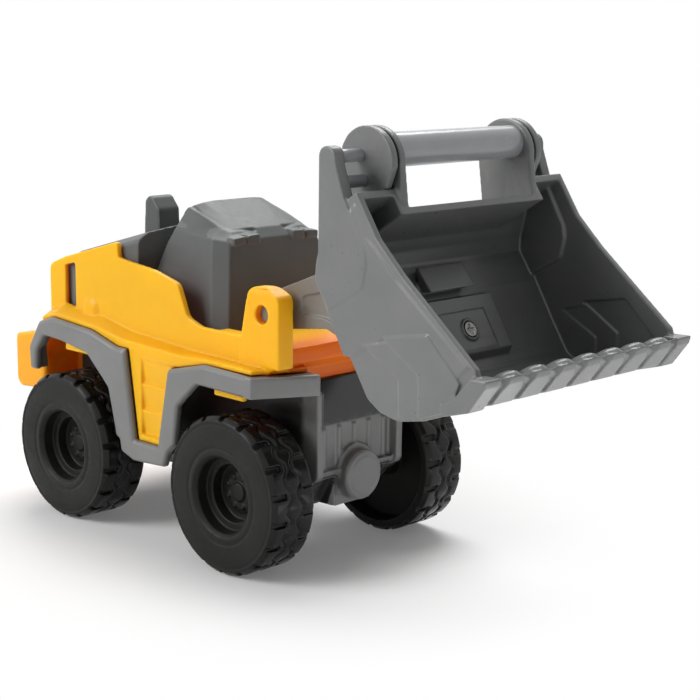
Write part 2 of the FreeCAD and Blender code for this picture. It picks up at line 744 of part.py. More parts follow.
def build_body_shell():
    body = new_body("body_shell")
    half = s.body_half_width
    rear, floor = s.body_rear_x, s.body_floor_z
    base = s.tub_top_z
    skin = s.wall
    block(body, "sides", "XZ_Plane", [
        (rear, base),
        (rear, s.hood_rear_z - 3.8, 4),
        (rear + s.tail_length, s.hood_rear_z, 2),
        (rear + s.tail_length + s.slope_length, s.hood_front_z, 1.2),
        (rear + s.tail_length + s.slope_length + 0.8, s.hood_front_z - 6, 0.8),
        (rear + 64.3, s.hood_front_z - 8.3, 3),
        (rear + 77.2, s.hood_front_z - 11.4, 4),
        (rear + 82.4, s.belt_z + 2.4, 4),
        (rear + 89.6, s.belt_z, 4),
        (s.deck_front_x - 1, s.belt_z),
        (s.deck_front_x, s.belt_z - 5, 0.8),
        (s.deck_front_x, base + 8, 0.8),
        (s.deck_front_x - s.deck_undercut, base + 5),
        (s.deck_front_x - s.deck_undercut, base),
    ], -half, half)
    # The hood and cab drop in between the side panels, down to the floor.
    block_in = half - skin
    cut(body, "well", "XY_Plane",
        rectangle(rear - 1, -block_in, s.cab_front_x + 3, block_in), floor, s.hood_front_z + 5)
    cut(body, "arm_slot", "YZ_Plane",
        rectangle(-s.tower_inner_y, s.deck_z, s.tower_inner_y, s.belt_z + 6),
        s.cab_front_x, s.deck_front_x + 2)
    # Undersides of deck and floor are cored out around the tub.
    cut(body, "deck_core", "XZ_Plane", [
        (s.cab_front_x + 3 + skin, base - 1),
        (s.cab_front_x + 3 + skin, s.deck_z - skin),
        (s.deck_front_x - skin - 4, s.deck_z - skin),
        (s.deck_front_x - skin - 4, base - 1),
    ], -half + skin, half - skin)
    # A grille slot behind the rear corner bar.
    for side, low, high in both_sides(block_in - 1, half + 1):
        cut(body, f"grille_slot_{side}", "XZ_Plane", [
            (rear + s.tail_length, base + 11.5),
            (rear + s.tail_length + 6.5, base + 12.5, 1),
            (rear + s.tail_length + 6.5, s.hood_rear_z - 1.5, 1),
            (rear + s.tail_length, s.hood_rear_z - 3.2),
        ], low, high)
    # Towers carry the lift arm.
    tower = [
        (s.pivot_x - 11, s.belt_z - 8),
        (s.pivot_x - 10.4, s.belt_z, 1),
        (s.pivot_x - 6.8, s.tower_top_z - 0.6, 4),
        (s.pivot_x + 2, s.tower_top_z + 0.4, 4),
        (s.pivot_x + 8.4, s.tower_top_z - 3, 3),
        (s.pivot_x + 8.6, s.front_fender_z + 2.4),
        (s.pivot_x - 11, s.front_fender_z + 2.4),
    ]
    for side, low, high in both_sides(s.tower_inner_y, s.tower_outer_y):
        block(body, f"tower_{side}", "XZ_Plane", tower, low, high)
    for side, low, high in both_sides(s.tower_inner_y - 1, s.tower_outer_y + 1):
        clear(body, f"pivot_bore_{side}", "XZ_Plane",
              [(s.pivot_x, s.pivot_z, s.pivot_radius + s.journal_clearance)], low, high)
    # The belt flares out to a ledge along the fender tops.
    gap = s.part_gap
    rear_x = s.front_axle_x - s.wheelbase
    foot = [
        (rear_x - 18.4, s.rear_fender_z - 2.6 + gap),
        (rear_x - 10.5, s.rear_fender_z + gap),
        (rear_x + 14, s.rear_fender_z - 1.6 + gap),
        (rear_x + 29.5, s.middle_z + gap),
        (rear_x + 35.4, s.middle_z + gap),
        (s.front_axle_x - 32.5, s.middle_z + gap - 3.4),
        (s.front_axle_x - 13.5, s.front_fender_z + gap),
        (s.pivot_x, s.front_fender_z - 0.2 + gap),
    ]
    # Each point of the crest has its height above the foot line and its share of the flare.
    crest = [
        (s.pivot_x, s.front_fender_z - 0.2 + gap, 0.1),
        (s.front_axle_x - 14, s.front_fender_z + gap, 0.1),
        (s.front_axle_x - 26, s.front_fender_z - 0.6 + gap, 0.4),
        (rear_x + 32, s.middle_z + gap + 1.4, 0.8),
        (rear_x + 15, s.rear_fender_z - 1.6 + gap, 1),
        (rear_x - 10, s.rear_fender_z + gap, 1),
        (rear_x - 18.4, s.rear_fender_z - 2.6 + gap, 1),
    ]
    for side, way in (("left", 1), ("right", -1)):
        outer = new_sketch(body, f"ledge_{side}_edge", "XZ_Plane", s.ledge_y * way)
        draw(outer, [foot + [(x, z + s.ledge_height) for x, z, share in crest]])
        inner = new_sketch(body, f"ledge_{side}_root", "XZ_Plane", (half - 1) * way)
        draw(inner, [foot + [(x, z + s.ledge_height + s.ledge_flare * share)
                             for x, z, share in crest]])
        loft(body, f"ledge_{side}", [inner, outer])
    # In front of each tower the ledge ends on a slant that follows the fender's sweep.
    prow = [(s.pivot_x - 12, half - 1), (s.pivot_x - 12, s.ledge_y), (s.fender_front_x - 2, s.ledge_y),
            (s.deck_front_x + 1.4, s.tub_half_width + 4), (s.deck_front_x + 1.4, s.tub_half_width + 1),
            (s.deck_front_x - 4, s.tub_half_width + 1), (s.deck_front_x - 4, half - 1)]
    prow_z = s.front_fender_z - 0.2 + gap
    fill(body, "prow", "XY_Plane", [[(x, y * way) for x, y in prow] for way in (1, -1)],
         prow_z, prow_z + s.ledge_height)
    # Panels close the sides between the wheels; three louvred steps are sunk in each.
    side_face = s.ledge_y
    panel = [
        (rear_x + 35.4, s.middle_z + 1),
        (rear_x + 40.7, s.step_top_z + gap),
        (s.front_axle_x - 38.7, s.step_top_z + gap),
        (s.front_axle_x - 32.8, s.middle_z - 3.2),
        (s.front_axle_x - 32.8, s.middle_z + 1),
    ]
    for side, low, high in both_sides(side_face - s.panel_thickness, side_face):
        block(body, f"panel_{side}", "XZ_Plane", panel, low, high)
    proud, sunk = side_face - s.louvre_depth * 0.3, side_face - s.louvre_depth
    pitch = (s.middle_z - s.step_top_z - 4) / s.louvre_count
    louvres = [(side_face + 1, s.middle_z - 2)]
    for index in range(int(s.louvre_count.value)):
        louvres.append((proud, s.middle_z - 2 - pitch * index))
        louvres.append((sunk, s.middle_z - 1 - pitch * (index + 1)))
    louvres.append((side_face + 1, s.middle_z - 2 - pitch * s.louvre_count))
    clear(body, "louvres", "YZ_Plane", [[(y * way, z) for y, z in louvres] for way in (1, -1)],
          rear_x + 42.6, s.front_axle_x - 26)
    # Snap tabs hook down inside the fenders' lips.
    tab_out = s.fender_face_y - s.fender_lip - s.part_gap
    for name, x, top_z in (("front", s.front_axle_x - 2.6, s.front_fender_z - s.fender_plate),
                           ("rear", rear_x + 2.6, s.rear_fender_z - 1.6 - s.fender_plate)):
        tab = [
            (half - 1, top_z - 3.6),
            (tab_out - 2.2, top_z - 3.6),
            (tab_out - 2.2, top_z - 7.6),
            (tab_out, top_z - 7.6),
            (tab_out, top_z - 1.2),
            (half - 1, top_z - 1.2),
        ]
        fill(body, f"{name}_tabs", "YZ_Plane", [[(y * way, z) for y, z in tab] for way in (1, -1)],
             x - 7.5, x + 7.5)
    # Screw posts reach down into the tub.
    post_foot = s.tub_bottom_z + s.screw_well + s.part_gap / 2
    fill(body, "posts", "XY_Plane", around_screws(s.post_radius), post_foot, floor - 1)
    clear(body, "pilots", "XY_Plane", around_screws(s.screw_radius),
          post_foot - 1, post_foot + s.screw_length)
    return body


# Cab, hood and grille --------------------------------------------------------------------------

def cab_ring(rear, front, rear_half, front_half, corner):
    """A cab cross-section from above: a tapering outline with its two front corners cut off."""
    return [
        (rear, -rear_half),
        (front - corner, -front_half),
        (front, corner / 2 - front_half),
        (front, front_half - corner / 2),
        (front - corner, front_half),
        (rear, rear_half),
    ]


def sloping_ring(body, name, rear, front, corner):
    """A ring between two stations, each given as its x, z and half width."""
    run = front[0].value - rear[0].value
    drop = rear[1].value - front[1].value
    sketch = new_sketch(body, name, "XY_Plane", rear[1])
    sketch.AttachmentOffset = Placement(Vector(rear[0].value, 0, rear[1].value),
                                        Rotation(ALONG_Y, math.degrees(math.atan2(drop, run))))
    sketch.setExpression("AttachmentOffset.Base.x", rear[0].text)
    length = (front[0] - rear[0]) * (math.hypot(run, drop) / run)
    draw(sketch, [cab_ring(0, length, rear[2], front[2], corner)])
    return sketch


def loft(body, name, sketches, kind="AdditiveLoft"):
    feature = body.newObject(f"PartDesign::{kind}", name)
    feature.Profile = sketches[0]
    feature.Sections = sketches[1:]
    feature.Ruled = True
    feature.Refine = False
    return feature


def cab_form(body, name, floor, skin, kind):
    """The cab's tapering form with its roof, drawn in from the outside by skin."""
    low = s.body_floor_z + s.part_gap / 3

    def front_at(z):
        return s.cab_front_x - s.cab_lean * (z - low) - skin

    def half_at(z):
        return s.cab_half_width - s.cab_lean * (z - low) - skin

    rings = []
    knee_z = s.cab_knee_z - skin
    for part, level, z in (("base", floor, low), ("knee", knee_z, knee_z)):
        sketch = new_sketch(body, f"{name}_{part}", "XY_Plane", level)
        draw(sketch, [cab_ring(s.cab_rear_x + skin, front_at(z), half_at(z), half_at(z),
                               s.cab_corner)])
        rings.append(sketch)
    rings.append(sloping_ring(
        body, f"{name}_eave",
        (s.eave_rear_x + skin, s.eave_rear_z - skin, half_at(s.eave_rear_z)),
        (front_at(s.eave_front_z), s.eave_front_z - skin, half_at(s.eave_front_z)),
        s.cab_corner))
    roof_half = s.roof_half_width - skin
    rings.append(sloping_ring(
        body, f"{name}_roof",
        (s.roof_rear_x + skin, s.roof_rear_z - skin, roof_half),
        (s.roof_front_x - skin, s.roof_front_z - skin, roof_half),
        s.cab_corner / 2))
    if kind == "AdditiveLoft":
        # The roof swells a little inside its edge.
        inset, rise = s.roof_crown * 5, s.roof_crown
        rings.append(sloping_ring(
            body, f"{name}_crown",
            (s.roof_rear_x + inset * 0.7, s.roof_rear_z + rise, roof_half - inset),
            (s.roof_front_x - inset, s.roof_front_z + rise * 2, roof_half - inset),
            s.cab_corner / 2))
    loft(body, name, rings, kind)


def build_cab():
    """The operator's cab: a hollow tapering moulding with a drooping roof and work lights."""
    body = new_body("cab")
    floor = s.body_floor_z + 0.1
    cab_form(body, "outside", floor, as_size(0), "AdditiveLoft")
    cab_form(body, "inside", floor - 1, s.wall, "SubtractiveLoft")
    rise = s.eave_front_z - floor
    eave_front = s.cab_front_x - s.cab_lean * rise
    eave_half = s.cab_half_width - s.cab_lean * rise
    # Four work lights hang under the roof's front edge.
    low_z, high_z = s.eave_front_z - 1.4, s.eave_front_z + 2.4
    lamps = []
    lamp_end = eave_half - s.cab_corner / 2 - 0.6
    for near in (lamp_end - s.lamp_pitch, lamp_end):
        for side, low, high in both_sides(near - s.lamp_width, near):
            lamps.append(rectangle(low, low_z, high, high_z))
    fill(body, "lamps", "YZ_Plane", lamps, eave_front - 2, eave_front + 1.4)
    return body


def hood_form(body, name, floor, skin, kind):
    """The crowned engine cover, drawn in from the outside by skin."""
    half = s.hood_half_width - skin
    slope = (s.hood_front_z - s.hood_rear_z) / s.slope_length
    rear, front = s.body_rear_x + 2.6 + skin, s.cab_rear_x - s.part_gap - skin
    knee = s.body_rear_x + s.tail_length
    stations = [
        (rear, s.hood_rear_z - 3.6, s.hood_crown * 0.5),
        (knee, s.hood_rear_z, s.hood_crown),
        (front, s.hood_front_z + slope * (front - knee - s.slope_length), s.hood_crown),
    ]
    rings = []
    for index, (x, z, crown) in enumerate(stations, start=1):
        z = z - skin
        sketch = new_sketch(body, f"{name}_ring_{index}", "YZ_Plane", x)
        draw(sketch, [[
            (-half, floor), (half, floor),
            (half, z - s.hood_edge * 2), (half - s.hood_edge, z - s.hood_edge * 0.6),
            (half - 5, z + crown * 0.5), (half - 18, z + crown),
            (18 - half, z + crown), (5 - half, z + crown * 0.5),
            (s.hood_edge - half, z - s.hood_edge * 0.6), (-half, z - s.hood_edge * 2)]])
        rings.append(sketch)
    loft(body, name, rings, kind)


def build_hood():
    """The dark engine cover between the yellow side panels, with its air intake stack."""
    body = new_body("engine_hood")
    floor = s.body_floor_z + 0.1
    hood_form(body, "outside", floor, as_size(0), "AdditiveLoft")
    hood_form(body, "inside", floor - 1, s.wall, "SubtractiveLoft")
    stack_rear = s.stack_front_x - s.stack_length
    block(body, "stack", "XZ_Plane", [
        (stack_rear - 1, s.hood_front_z - 5),
        (stack_rear, s.stack_top_z - 2, 1.5),
        (stack_rear + 2.4, s.stack_top_z, 1.5),
        (s.stack_front_x - 4, s.stack_top_z - 0.5, 2),
        (s.stack_front_x, s.stack_top_z - 5, 2),
        (s.stack_front_x + 0.6, s.hood_front_z - 2.4),
    ], -s.stack_width / 2, s.stack_width / 2)
    return body


def build_grille():
    """The dark rear panel behind the corner bars, with level slats."""
    body = new_body("rear_grille")
    floor = s.body_floor_z + 0.1
    front = s.body_rear_x + 2.4
    face = s.body_rear_x - 3
    top = s.hood_rear_z - 4.4
    half = s.hood_half_width - 1
    block(body, "panel", "XZ_Plane", [
        (front, floor), (front, top), (face, top - 3, 2), (face, floor + 2, 1), (face + 2, floor),
    ], -half, half)
    slots = []
    for index in range(5):
        z = floor + 5 + index * 3.6
        slots.append(rectangle(-half + 5, z, half - 5, z + 1.8))
    clear(body, "slots", "YZ_Plane", slots, face - 1, face + 1.2)
    return body


def build_counterweight():
    """The heavy-looking tail block, hollow from below, on a neck that meets the tub's rear wall."""
    body = new_body("rear_counterweight")
    rear, neck_x = s.counterweight_rear_x, s.tub_rear_x - 0.1
    front = s.body_rear_x - s.counterweight_gap
    low, top = s.counterweight_bottom_z, s.counterweight_top_z
    half = s.body_half_width - 0.1
    block(body, "block", "XZ_Plane", [
        (rear, low + 5.2, 1),
        (rear + 0.6, top - 4.2, 2),
        (front, top),
        (front, low + 1.6),
        (rear + 5.2, low, 2),
    ], -half, half)
    ease_edges(body, "soft_edges", "Fillet", s.counterweight_edge, lies_at("Y", -half, half))
    corners = [[(rear - 1, side * (half + 1)), (rear - 1, side * (half - 5)),
                (rear + 5, side * (half + 1))] for side in (1, -1)]
    clear(body, "corners", "XY_Plane", corners, low - 1, top + 1)
    neck_half = s.tub_half_width - 1
    block(body, "neck", "XZ_Plane",
          rectangle(front - 3, low + 2.4, neck_x, top - 2.8), -neck_half, neck_half)
    cut(body, "hollow", "XY_Plane", rectangle(rear + 5, 6 - half, front - s.wall, half - 6),
        low - 1, top - 6.8)
    return body


# Lift arm --------------------------------------------------------------------------------------

def build_arm():
    """Two cheek plates on stub pins, joined by a cross web and a tie near the bucket hinge."""
    body = new_body("lift_arm")
    x, z = s.pivot_x, s.pivot_z
    outer = s.arm_outer_y
    inner = outer - s.arm_plate
    tip_x, tip_z = s.hinge_x, s.hinge_z
    cheek = [
        (x - 7.4, z - 1.5, 5),
        (x - 2.6, z + 7.2, 4),
        (x + 16, z + 14.6, 6),
        (x + 24, z + 13.4, 5),
        (tip_x + 3.6, tip_z + 4.6, 4.2),
        (tip_x + 3.2, tip_z - 5.4, 4.2),
        (tip_x - 6, tip_z - 5.6, 3),
        (x + 21.2, z - 3, 3),
        (x + 3, z - 5.6, 3),
        (x - 5, z - 7.4, 4),
    ]
    for side, low, high in both_sides(inner, outer):
        block(body, f"cheek_{side}", "XZ_Plane", cheek, low, high)
        if side == "left":
            block(body, "web", "XZ_Plane", [
                (x + 9, z + 2.6), (x + 9, z + 5.2), (x + 25, z + 9.4), (x + 25, z + 6.8),
            ], -inner - EPSILON, inner + EPSILON)
    panel = [
        (x + 8.4, z + 0.6, 2.6),
        (x + 9.6, z + 6.6, 3),
        (x + 22, z + 9.6, 3),
        (tip_x - 8, tip_z + 3.6, 3),
        (tip_x - 9, tip_z - 1.4, 2.4),
        (x + 21, z + 0.4, 2.6),
    ]
    for side, low, high in both_sides(outer - 0.8, outer + 1):
        cut(body, f"recess_{side}", "XZ_Plane", panel, low, high)
    stub_end = s.tower_outer_y - 2.6
    for side, low, high in both_sides(outer - EPSILON, stub_end):
        fill(body, f"stub_{side}", "XZ_Plane", [(x, z, s.pivot_radius)], low, high)
    clear(body, "hinge_bore", "XZ_Plane", [(tip_x, tip_z, s.hinge_pin_radius - s.press_grip)],
         -outer - 1, outer + 1)
    return body


def build_hinge_pin():
    body = new_body("bucket_hinge_pin")
    end = s.arm_outer_y - 0.4
    fill(body, "pin", "XZ_Plane", [(0, 0, s.hinge_pin_radius)], -end, end)
    place(body, x=s.hinge_x, z=s.hinge_z)
    return body


# Bucket ----------------------------------------------------------------------------------------

CROSS_PIN_PLACES = ((s.upper_pin_x, s.upper_pin_z), (s.lower_pin_x, s.lower_pin_z))

# The flat of the bucket's hinge pad, from its top to its foot, and the turn that faces out of it.
PAD_TOP = (s.hinge_x + s.pad_top_reach, s.hinge_z + s.pad_top_rise)
PAD_FOOT = (s.hinge_x + s.pad_foot_reach, s.hinge_z - s.pad_foot_drop)
PAD_TURN = math.atan2((PAD_TOP[1] - PAD_FOOT[1]).value, (PAD_FOOT[0] - PAD_TOP[0]).value)


def pad_point(lift):
    """The middle of the pad's flat, lifted along its normal."""
    x = (PAD_TOP[0] + PAD_FOOT[0]) / 2 + as_size(lift) * math.sin(PAD_TURN)
    z = (PAD_TOP[1] + PAD_FOOT[1]) / 2 + as_size(lift) * math.cos(PAD_TURN)
    return x, z


PAD_ROTATION = Rotation(ALONG_Y, math.degrees(PAD_TURN))


def mouth_facing(face):
    """Whether a flat face of the bucket's solid form lies across its open mouth.

    The mouth's three flats all look forward and up; no other flat of the form does both."""
    if face.Surface.TypeId != "Part::GeomPlane":
        return False
    way = face.normalAt(0, 0)
    forward, upward = 0.4, 0.15
    return way.x > forward and way.z > upward


def shell_bucket(body):
    """The open scoop: a solid of its outer form, stepped at the rim and hollowed from the mouth."""
    x, z = s.hinge_x, s.hinge_z
    rim_x, rim_z = s.rim_x, s.rim_z
    half = s.bucket_half_width
    block(body, "form", "XZ_Plane", [
        (rim_x, rim_z),
        (rim_x - 13, rim_z - 8.2, 3),
        (x - 1.8, z + 37, 3),
        (x - 4.1, z + 27.2, 6),
        (x - 4.2, z + 21.4, 4),
        (x + 2.6, z + 11.6, 8),
        (x + 10.2, z - 1, 8),
        (x + 18, z - 13, 5),
        (x + 23.6, z - 16.4, 5),
        (x + 30.7, z - 17.7, 6),
        (x + 41.1, z - 15.7, 8),
        (x + 52, z - 11.6),
        (s.tooth_tip_x - 8.6, s.tooth_tip_z - 10.2),
        (s.tooth_tip_x - 4.4, s.tooth_tip_z - 4.4),
        (s.tooth_tip_x - 5.9, s.tooth_tip_z + 2),
        (x + 31.2, z + 26.8),
        (x + 24.1, z + 33.6),
        (x + 21.2, z + 36.3),
    ], -half, half)
    cut(body, "rim_step", "XZ_Plane", [
        (rim_x - 18, rim_z - 19),
        (rim_x + 3.9, rim_z - 5.3),
        (rim_x + 12, rim_z - 1),
        (rim_x + 8, rim_z + 8),
        (rim_x - 18, rim_z + 4),
    ], -RIM_STEP_Y, RIM_STEP_Y)
    doc.recompute()
    solid = body.Tip
    mouth = [f"Face{i}" for i, face in enumerate(solid.Shape.Faces, start=1) if mouth_facing(face)]
    hollow = body.newObject("PartDesign::Thickness", "hollow")
    hollow.Base = (solid, mouth)
    hollow.Value = s.bucket_wall.value
    hollow.setExpression("Value", s.bucket_wall.text)
    hollow.Reversed = True
    hollow.Join = 1


def add_lip(body):
    """The cutting edge: a wedge across the mouth, scalloped into teeth."""
    x, z = s.hinge_x, s.hinge_z
    tip_x, tip_z = s.tooth_tip_x, s.tooth_tip_z
    half = s.lip_half_width
    # A bar of teeth on the lip's outer face, then the gaps between them, then the lip behind.
    block(body, "tooth_bar", "XZ_Plane", [
        (tip_x - 9.4, tip_z - 10.4),
        (tip_x - 5.8, tip_z - 9.4),
        (tip_x - 0.6, tip_z - 2.4),
        (tip_x, tip_z),
        (tip_x - 2.2, tip_z - 0.8),
        (tip_x - 6.2, tip_z - 5),
    ], 7 - half, half - 7)
    gap = s.tooth_pitch - s.tooth_width
    root = tip_x - s.tooth_length
    notches = []
    for index in range(-4, 4):
        middle = (index + 0.5) * s.tooth_pitch
        notches.append([
            (tip_x + 1, middle - gap * 1.3),
            (tip_x - 0.6, middle - gap * 1.1),
            (tip_x - 2.6, middle - gap * 0.6),
            (root, middle - gap * 0.4),
            (root, middle + gap * 0.4),
            (tip_x - 2.6, middle + gap * 0.6),
            (tip_x - 0.6, middle + gap * 1.1),
            (tip_x + 1, middle + gap * 1.3),
        ])
    clear(body, "notches", "XY_Plane", notches, tip_z - 12, tip_z + 1)
    block(body, "lip", "XZ_Plane", [
        (x + 49, z - 11.6),
        (tip_x - 8.6, tip_z - 10.2),
        (tip_x - 2.4, tip_z - 2.6),
        (tip_x - 2.6, tip_z - 1.2),
        (tip_x - 8.4, tip_z - 4.6),
        (x + 49, z - 8.8),
    ], -half, half)
    for side, low, high in both_sides(half - 7, half):
        block(body, f"corner_tooth_{side}", "XZ_Plane", [
            (tip_x - 17, tip_z - 13.4),
            (tip_x - 6.6, tip_z - 10.4),
            (tip_x - 0.6, tip_z - 2.4),
            (tip_x, tip_z),
            (tip_x - 6.2, tip_z - 0.2),
            (tip_x - 10, tip_z - 4.4),
        ], low, high)


def add_side_panels(body):
    """Raised panels, lobes and creases on the bucket's cheeks."""
    x, z = s.hinge_x, s.hinge_z
    rim_x, rim_z = s.rim_x, s.rim_z
    inner = s.bucket_half_width - s.bucket_wall
    face = s.bucket_half_width
    lobe = [
        (s.upper_pin_x - 3.4, z + 30),
        (s.upper_pin_x - 3.4, s.upper_pin_z + 3.4, 3.3),
        (s.upper_pin_x + 3.4, s.upper_pin_z + 3.4, 3.3),
        (s.upper_pin_x + 4, s.upper_pin_z - 2, 3),
        (rim_x - 4.4, rim_z - 2.4),
        (rim_x + 4.3, rim_z - 17.3, 3),
        (rim_x + 5, rim_z - 21.5, 3),
        (rim_x + 3.5, rim_z - 28.8, 3),
        (x + 1.5, z + 12.6),
        (x - 4.8, z + 21.4, 4),
        (x - 4.1, z + 27.2, 5),
    ]
    for side, low, high in both_sides(inner - 1.2, face + s.side_plate):
        block(body, f"lobe_{side}", "XZ_Plane", lobe, low, high)
    cheek = [
        (rim_x - 0.6, rim_z - 4),
        (x - 4.8, z + 21.4, 4),
        (x + 1, z + 10.8, 8),
        (x + 8, z - 1.2),
        (x + 10.4, z - 0.9),
        (x + 24.4, z + 6.9),
        (x + 29.2, z + 8.3),
        (x + 45, z + 2.4),
        (x + 54, z - 0.6),
        (x + 57.5, z + 3.2),
        (x + 29.4, z + 24.6),
        (x + 22.2, z + 31.6),
        (rim_x + 5.2, rim_z - 14),
    ]
    for side, low, high in both_sides(face - s.bucket_wall, face + s.side_plate / 2):
        block(body, f"cheek_{side}", "XZ_Plane", cheek, low, high)
    # Two terraces step outward toward the cutting edge, and the inside of the wall follows them.
    for index in (1, 2):
        shift = s.terrace_pitch * (index - 1)
        terrace = [
            (x + 16.6 + shift, z + 3.4 + shift * 0.45),
            (x + 31.2 + shift, z - 4.4 + shift * 0.3),
            (x + 31.6 + shift, z - 16.6 + shift * 0.2),
            (x + 52, z - 10.6),
            (s.tooth_tip_x - 11, s.tooth_tip_z - 2.6),
            (s.tooth_tip_x - 24, s.tooth_tip_z + 9.6),
        ]
        rise = s.side_plate / 2 + s.terrace_step * index
        for side, low, high in both_sides(face - 1, face + rise):
            block(body, f"terrace_{index}_{side}", "XZ_Plane", terrace, low, high)
        for side, low, high in both_sides(inner - 0.4, inner + s.terrace_step * 2 * index):
            cut(body, f"inner_terrace_{index}_{side}", "XZ_Plane", terrace, low, high)


def ear_outline(foot):
    """The round-topped ear that holds one end of the handle rod; foot is the run of its base."""
    top = s.ear_z + s.ear_radius
    round_top = s.ear_radius - 0.1
    return foot + [
        (s.ear_x + s.ear_radius, s.ear_z - 1),
        (s.ear_x + s.ear_radius, top, round_top),
        (s.ear_x - s.ear_radius, top, round_top),
        (s.ear_x - s.ear_radius, s.ear_z - 1),
    ]


def build_bucket():
    body = new_body("bucket_shell")
    x, z = s.hinge_x, s.hinge_z
    rim_x, rim_z = s.rim_x, s.rim_z
    shell_bucket(body)
    add_lip(body)
    add_side_panels(body)
    inner_ear = ear_outline([
        (rim_x - 17.4, rim_z - 16),
        (rim_x - 2, rim_z - 11),
        (rim_x + 3.4, rim_z - 4.8),
    ])
    for side, low, high in both_sides(EAR_Y - s.ear_plate, EAR_Y):
        block(body, f"inner_ear_{side}", "XZ_Plane", inner_ear, low, high)
        clear(body, f"rod_hole_{side}", "XZ_Plane",
              [(s.rod_x, s.rod_z, s.rod_spigot_radius - s.press_grip)], low - 1, high + 1)
    inner = s.bucket_half_width - s.bucket_wall
    sockets = [place + (s.cross_pin_radius - s.press_grip,) for place in CROSS_PIN_PLACES]
    for side, low, high in both_sides(inner - 1.4, inner):
        clear(body, f"pin_sockets_{side}", "XZ_Plane", sockets, low, high)
    # Inside, a screw boss stands on a raised pad of the back wall.
    pad_half = s.hinge_pad_half_width
    block(body, "hinge_pad", "XZ_Plane", [
        (PAD_TOP[0] - 4.3, PAD_TOP[1] - 2.6), PAD_TOP, PAD_FOOT, (PAD_FOOT[0] - 4.3, PAD_FOOT[1] - 2.6),
    ], -pad_half, pad_half)
    top = s.boss_height
    along_screw(body, "boss", "Pad", 0, top, s.screw_head_radius + 1.2)
    along_screw(body, "boss_sink", "Pocket", top, s.boss_sink, s.screw_head_radius + s.part_gap)
    along_screw(body, "boss_hole", "Pocket", top, s.hinge_screw_length,
                s.screw_radius + s.part_gap / 2)
    block(body, "back_pad", "XZ_Plane", [
        (x + 3.6, z + 14),
        (x + 1, z + 21.6),
        (x + 2.4, z + 22),
        (x + 8.6, z + 14.6),
    ], -pad_half, pad_half)
    return body


def along_screw(body, name, kind, lift, length, radius):
    """A round Pad or Pocket about the hinge screw's line, from lift above the pad's flat."""
    x, z = pad_point(lift)
    sketch = new_sketch(body, name + "_ring", "XY_Plane", z)
    sketch.AttachmentOffset = Placement(Vector(x.value, 0, z.value), PAD_ROTATION)
    sketch.setExpression("AttachmentOffset.Base.x", x.text)
    draw(sketch, [(0, 0, radius)])
    feature = body.newObject(f"PartDesign::{kind}", name)
    feature.Profile = sketch
    feature.Length = as_size(length).value
    feature.setExpression("Length", as_size(length).text)


def build_hinge_screw():
    """The screw that clamps the hinge block to the bucket's back, its head sunk in the boss."""
    head_seat = s.boss_height - s.boss_sink
    cylinders = []
    for name, radius, bottom, top in (
            ("head", s.screw_head_radius, head_seat, head_seat + s.screw_head_height),
            ("shank", s.screw_radius, head_seat - s.hinge_screw_length, head_seat + 0.5)):
        cylinder = rod(f"hinge_screw_{name}", radius, top - bottom)
        x, z = pad_point(bottom)
        place(cylinder, x, 0, z, PAD_ROTATION)
        cylinders.append(cylinder)
    screw = doc.addObject("Part::Fuse", "hinge_screw")
    screw.Label = "hinge_screw"
    screw.Base, screw.Tool = cylinders
    return screw


def build_ear_plate(label, sign):
    """A loose cheek beside each inner ear, standing on the rim."""
    body = new_body(label)
    low = EAR_PLATE_Y
    high = low + s.ear_plate
    foot = ear_outline([
        (s.ear_x - s.ear_radius + 5.4, s.rim_z - 9.4),
        (s.rim_x - 12.6, s.rim_z - 7.8),
        (s.rim_x - 0.6, s.rim_z - 0.2),
    ])
    if sign < 0:
        low, high = -high, -low
    block(body, "plate", "XZ_Plane", foot, low, high)
    return body


def build_handle_rod():
    body = new_body("handle_rod")
    inner = EAR_Y - s.ear_plate
    fill(body, "grip", "XZ_Plane", [(s.rod_x, s.rod_z, s.rod_radius)], -inner, inner)
    fill(body, "spigot", "XZ_Plane", [(s.rod_x, s.rod_z, s.rod_spigot_radius)],
         -EAR_PLATE_Y, EAR_PLATE_Y)
    return body


def build_cross_pins():
    group = []
    low = EAR_PLATE_Y + s.ear_plate
    high = s.bucket_half_width - s.bucket_wall
    for side, near, far in both_sides(low, high):
        for index, (pin_x, pin_z) in enumerate(CROSS_PIN_PLACES, start=1):
            pin = rod(f"cross_pin_{side}_{index}", s.cross_pin_radius, far - near)
            place(pin, pin_x, far, pin_z, Rotation(ALONG_X, 90))
            group.append(pin)
    pins = doc.addObject("Part::Compound", "cross_pins")
    pins.Label = "cross_pins"
    pins.Links = group
    return pins


def build_hinge_block():
    """The knuckle screwed to the bucket's back; it turns on the pin between the arm's cheeks."""
    body = new_body("hinge_block")
    x, z = s.hinge_x, s.hinge_z
    half = s.arm_outer_y - s.arm_plate - s.part_gap
    wall_gap = 0.15
    block(body, "block", "XZ_Plane", [
        (x - 4.6, z + 4.6, 4.4),
        (x + 1, z + 5),
        (x + 4.4 - wall_gap, z + 8.6),
        (x + 14 - wall_gap, z - 7.3),
        (x + 3, z - 5),
        (x - 4.6, z - 4.6, 4.4),
    ], -half, half)
    clear(body, "pin_bore", "XZ_Plane", [(x, z, s.hinge_pin_radius + s.journal_clearance)],
          -half - 1, half + 1)
    along_screw(body, "pilot", "Pocket", -4, s.hinge_screw_length - 3, s.screw_radius)
    return body


# Document --------------------------------------------------------------------------------------

def check_and_export(parts):
    """Recompute, stop if a feature or a sub-part failed, then write one STEP file for each."""
    doc.recompute()
    failed = [o.Name for o in doc.Objects if "Invalid" in o.State or "Error" in o.State]
    if failed:
        raise RuntimeError(f"features failed: {failed}")
    os.makedirs("parts", exist_ok=True)
    for part in parts:
        if part.Shape.isNull() or not part.Shape.isValid():
            raise RuntimeError(f"{part.Label} has no valid shape")
        part.Shape.exportStep(f"parts/{part.Label}.step")


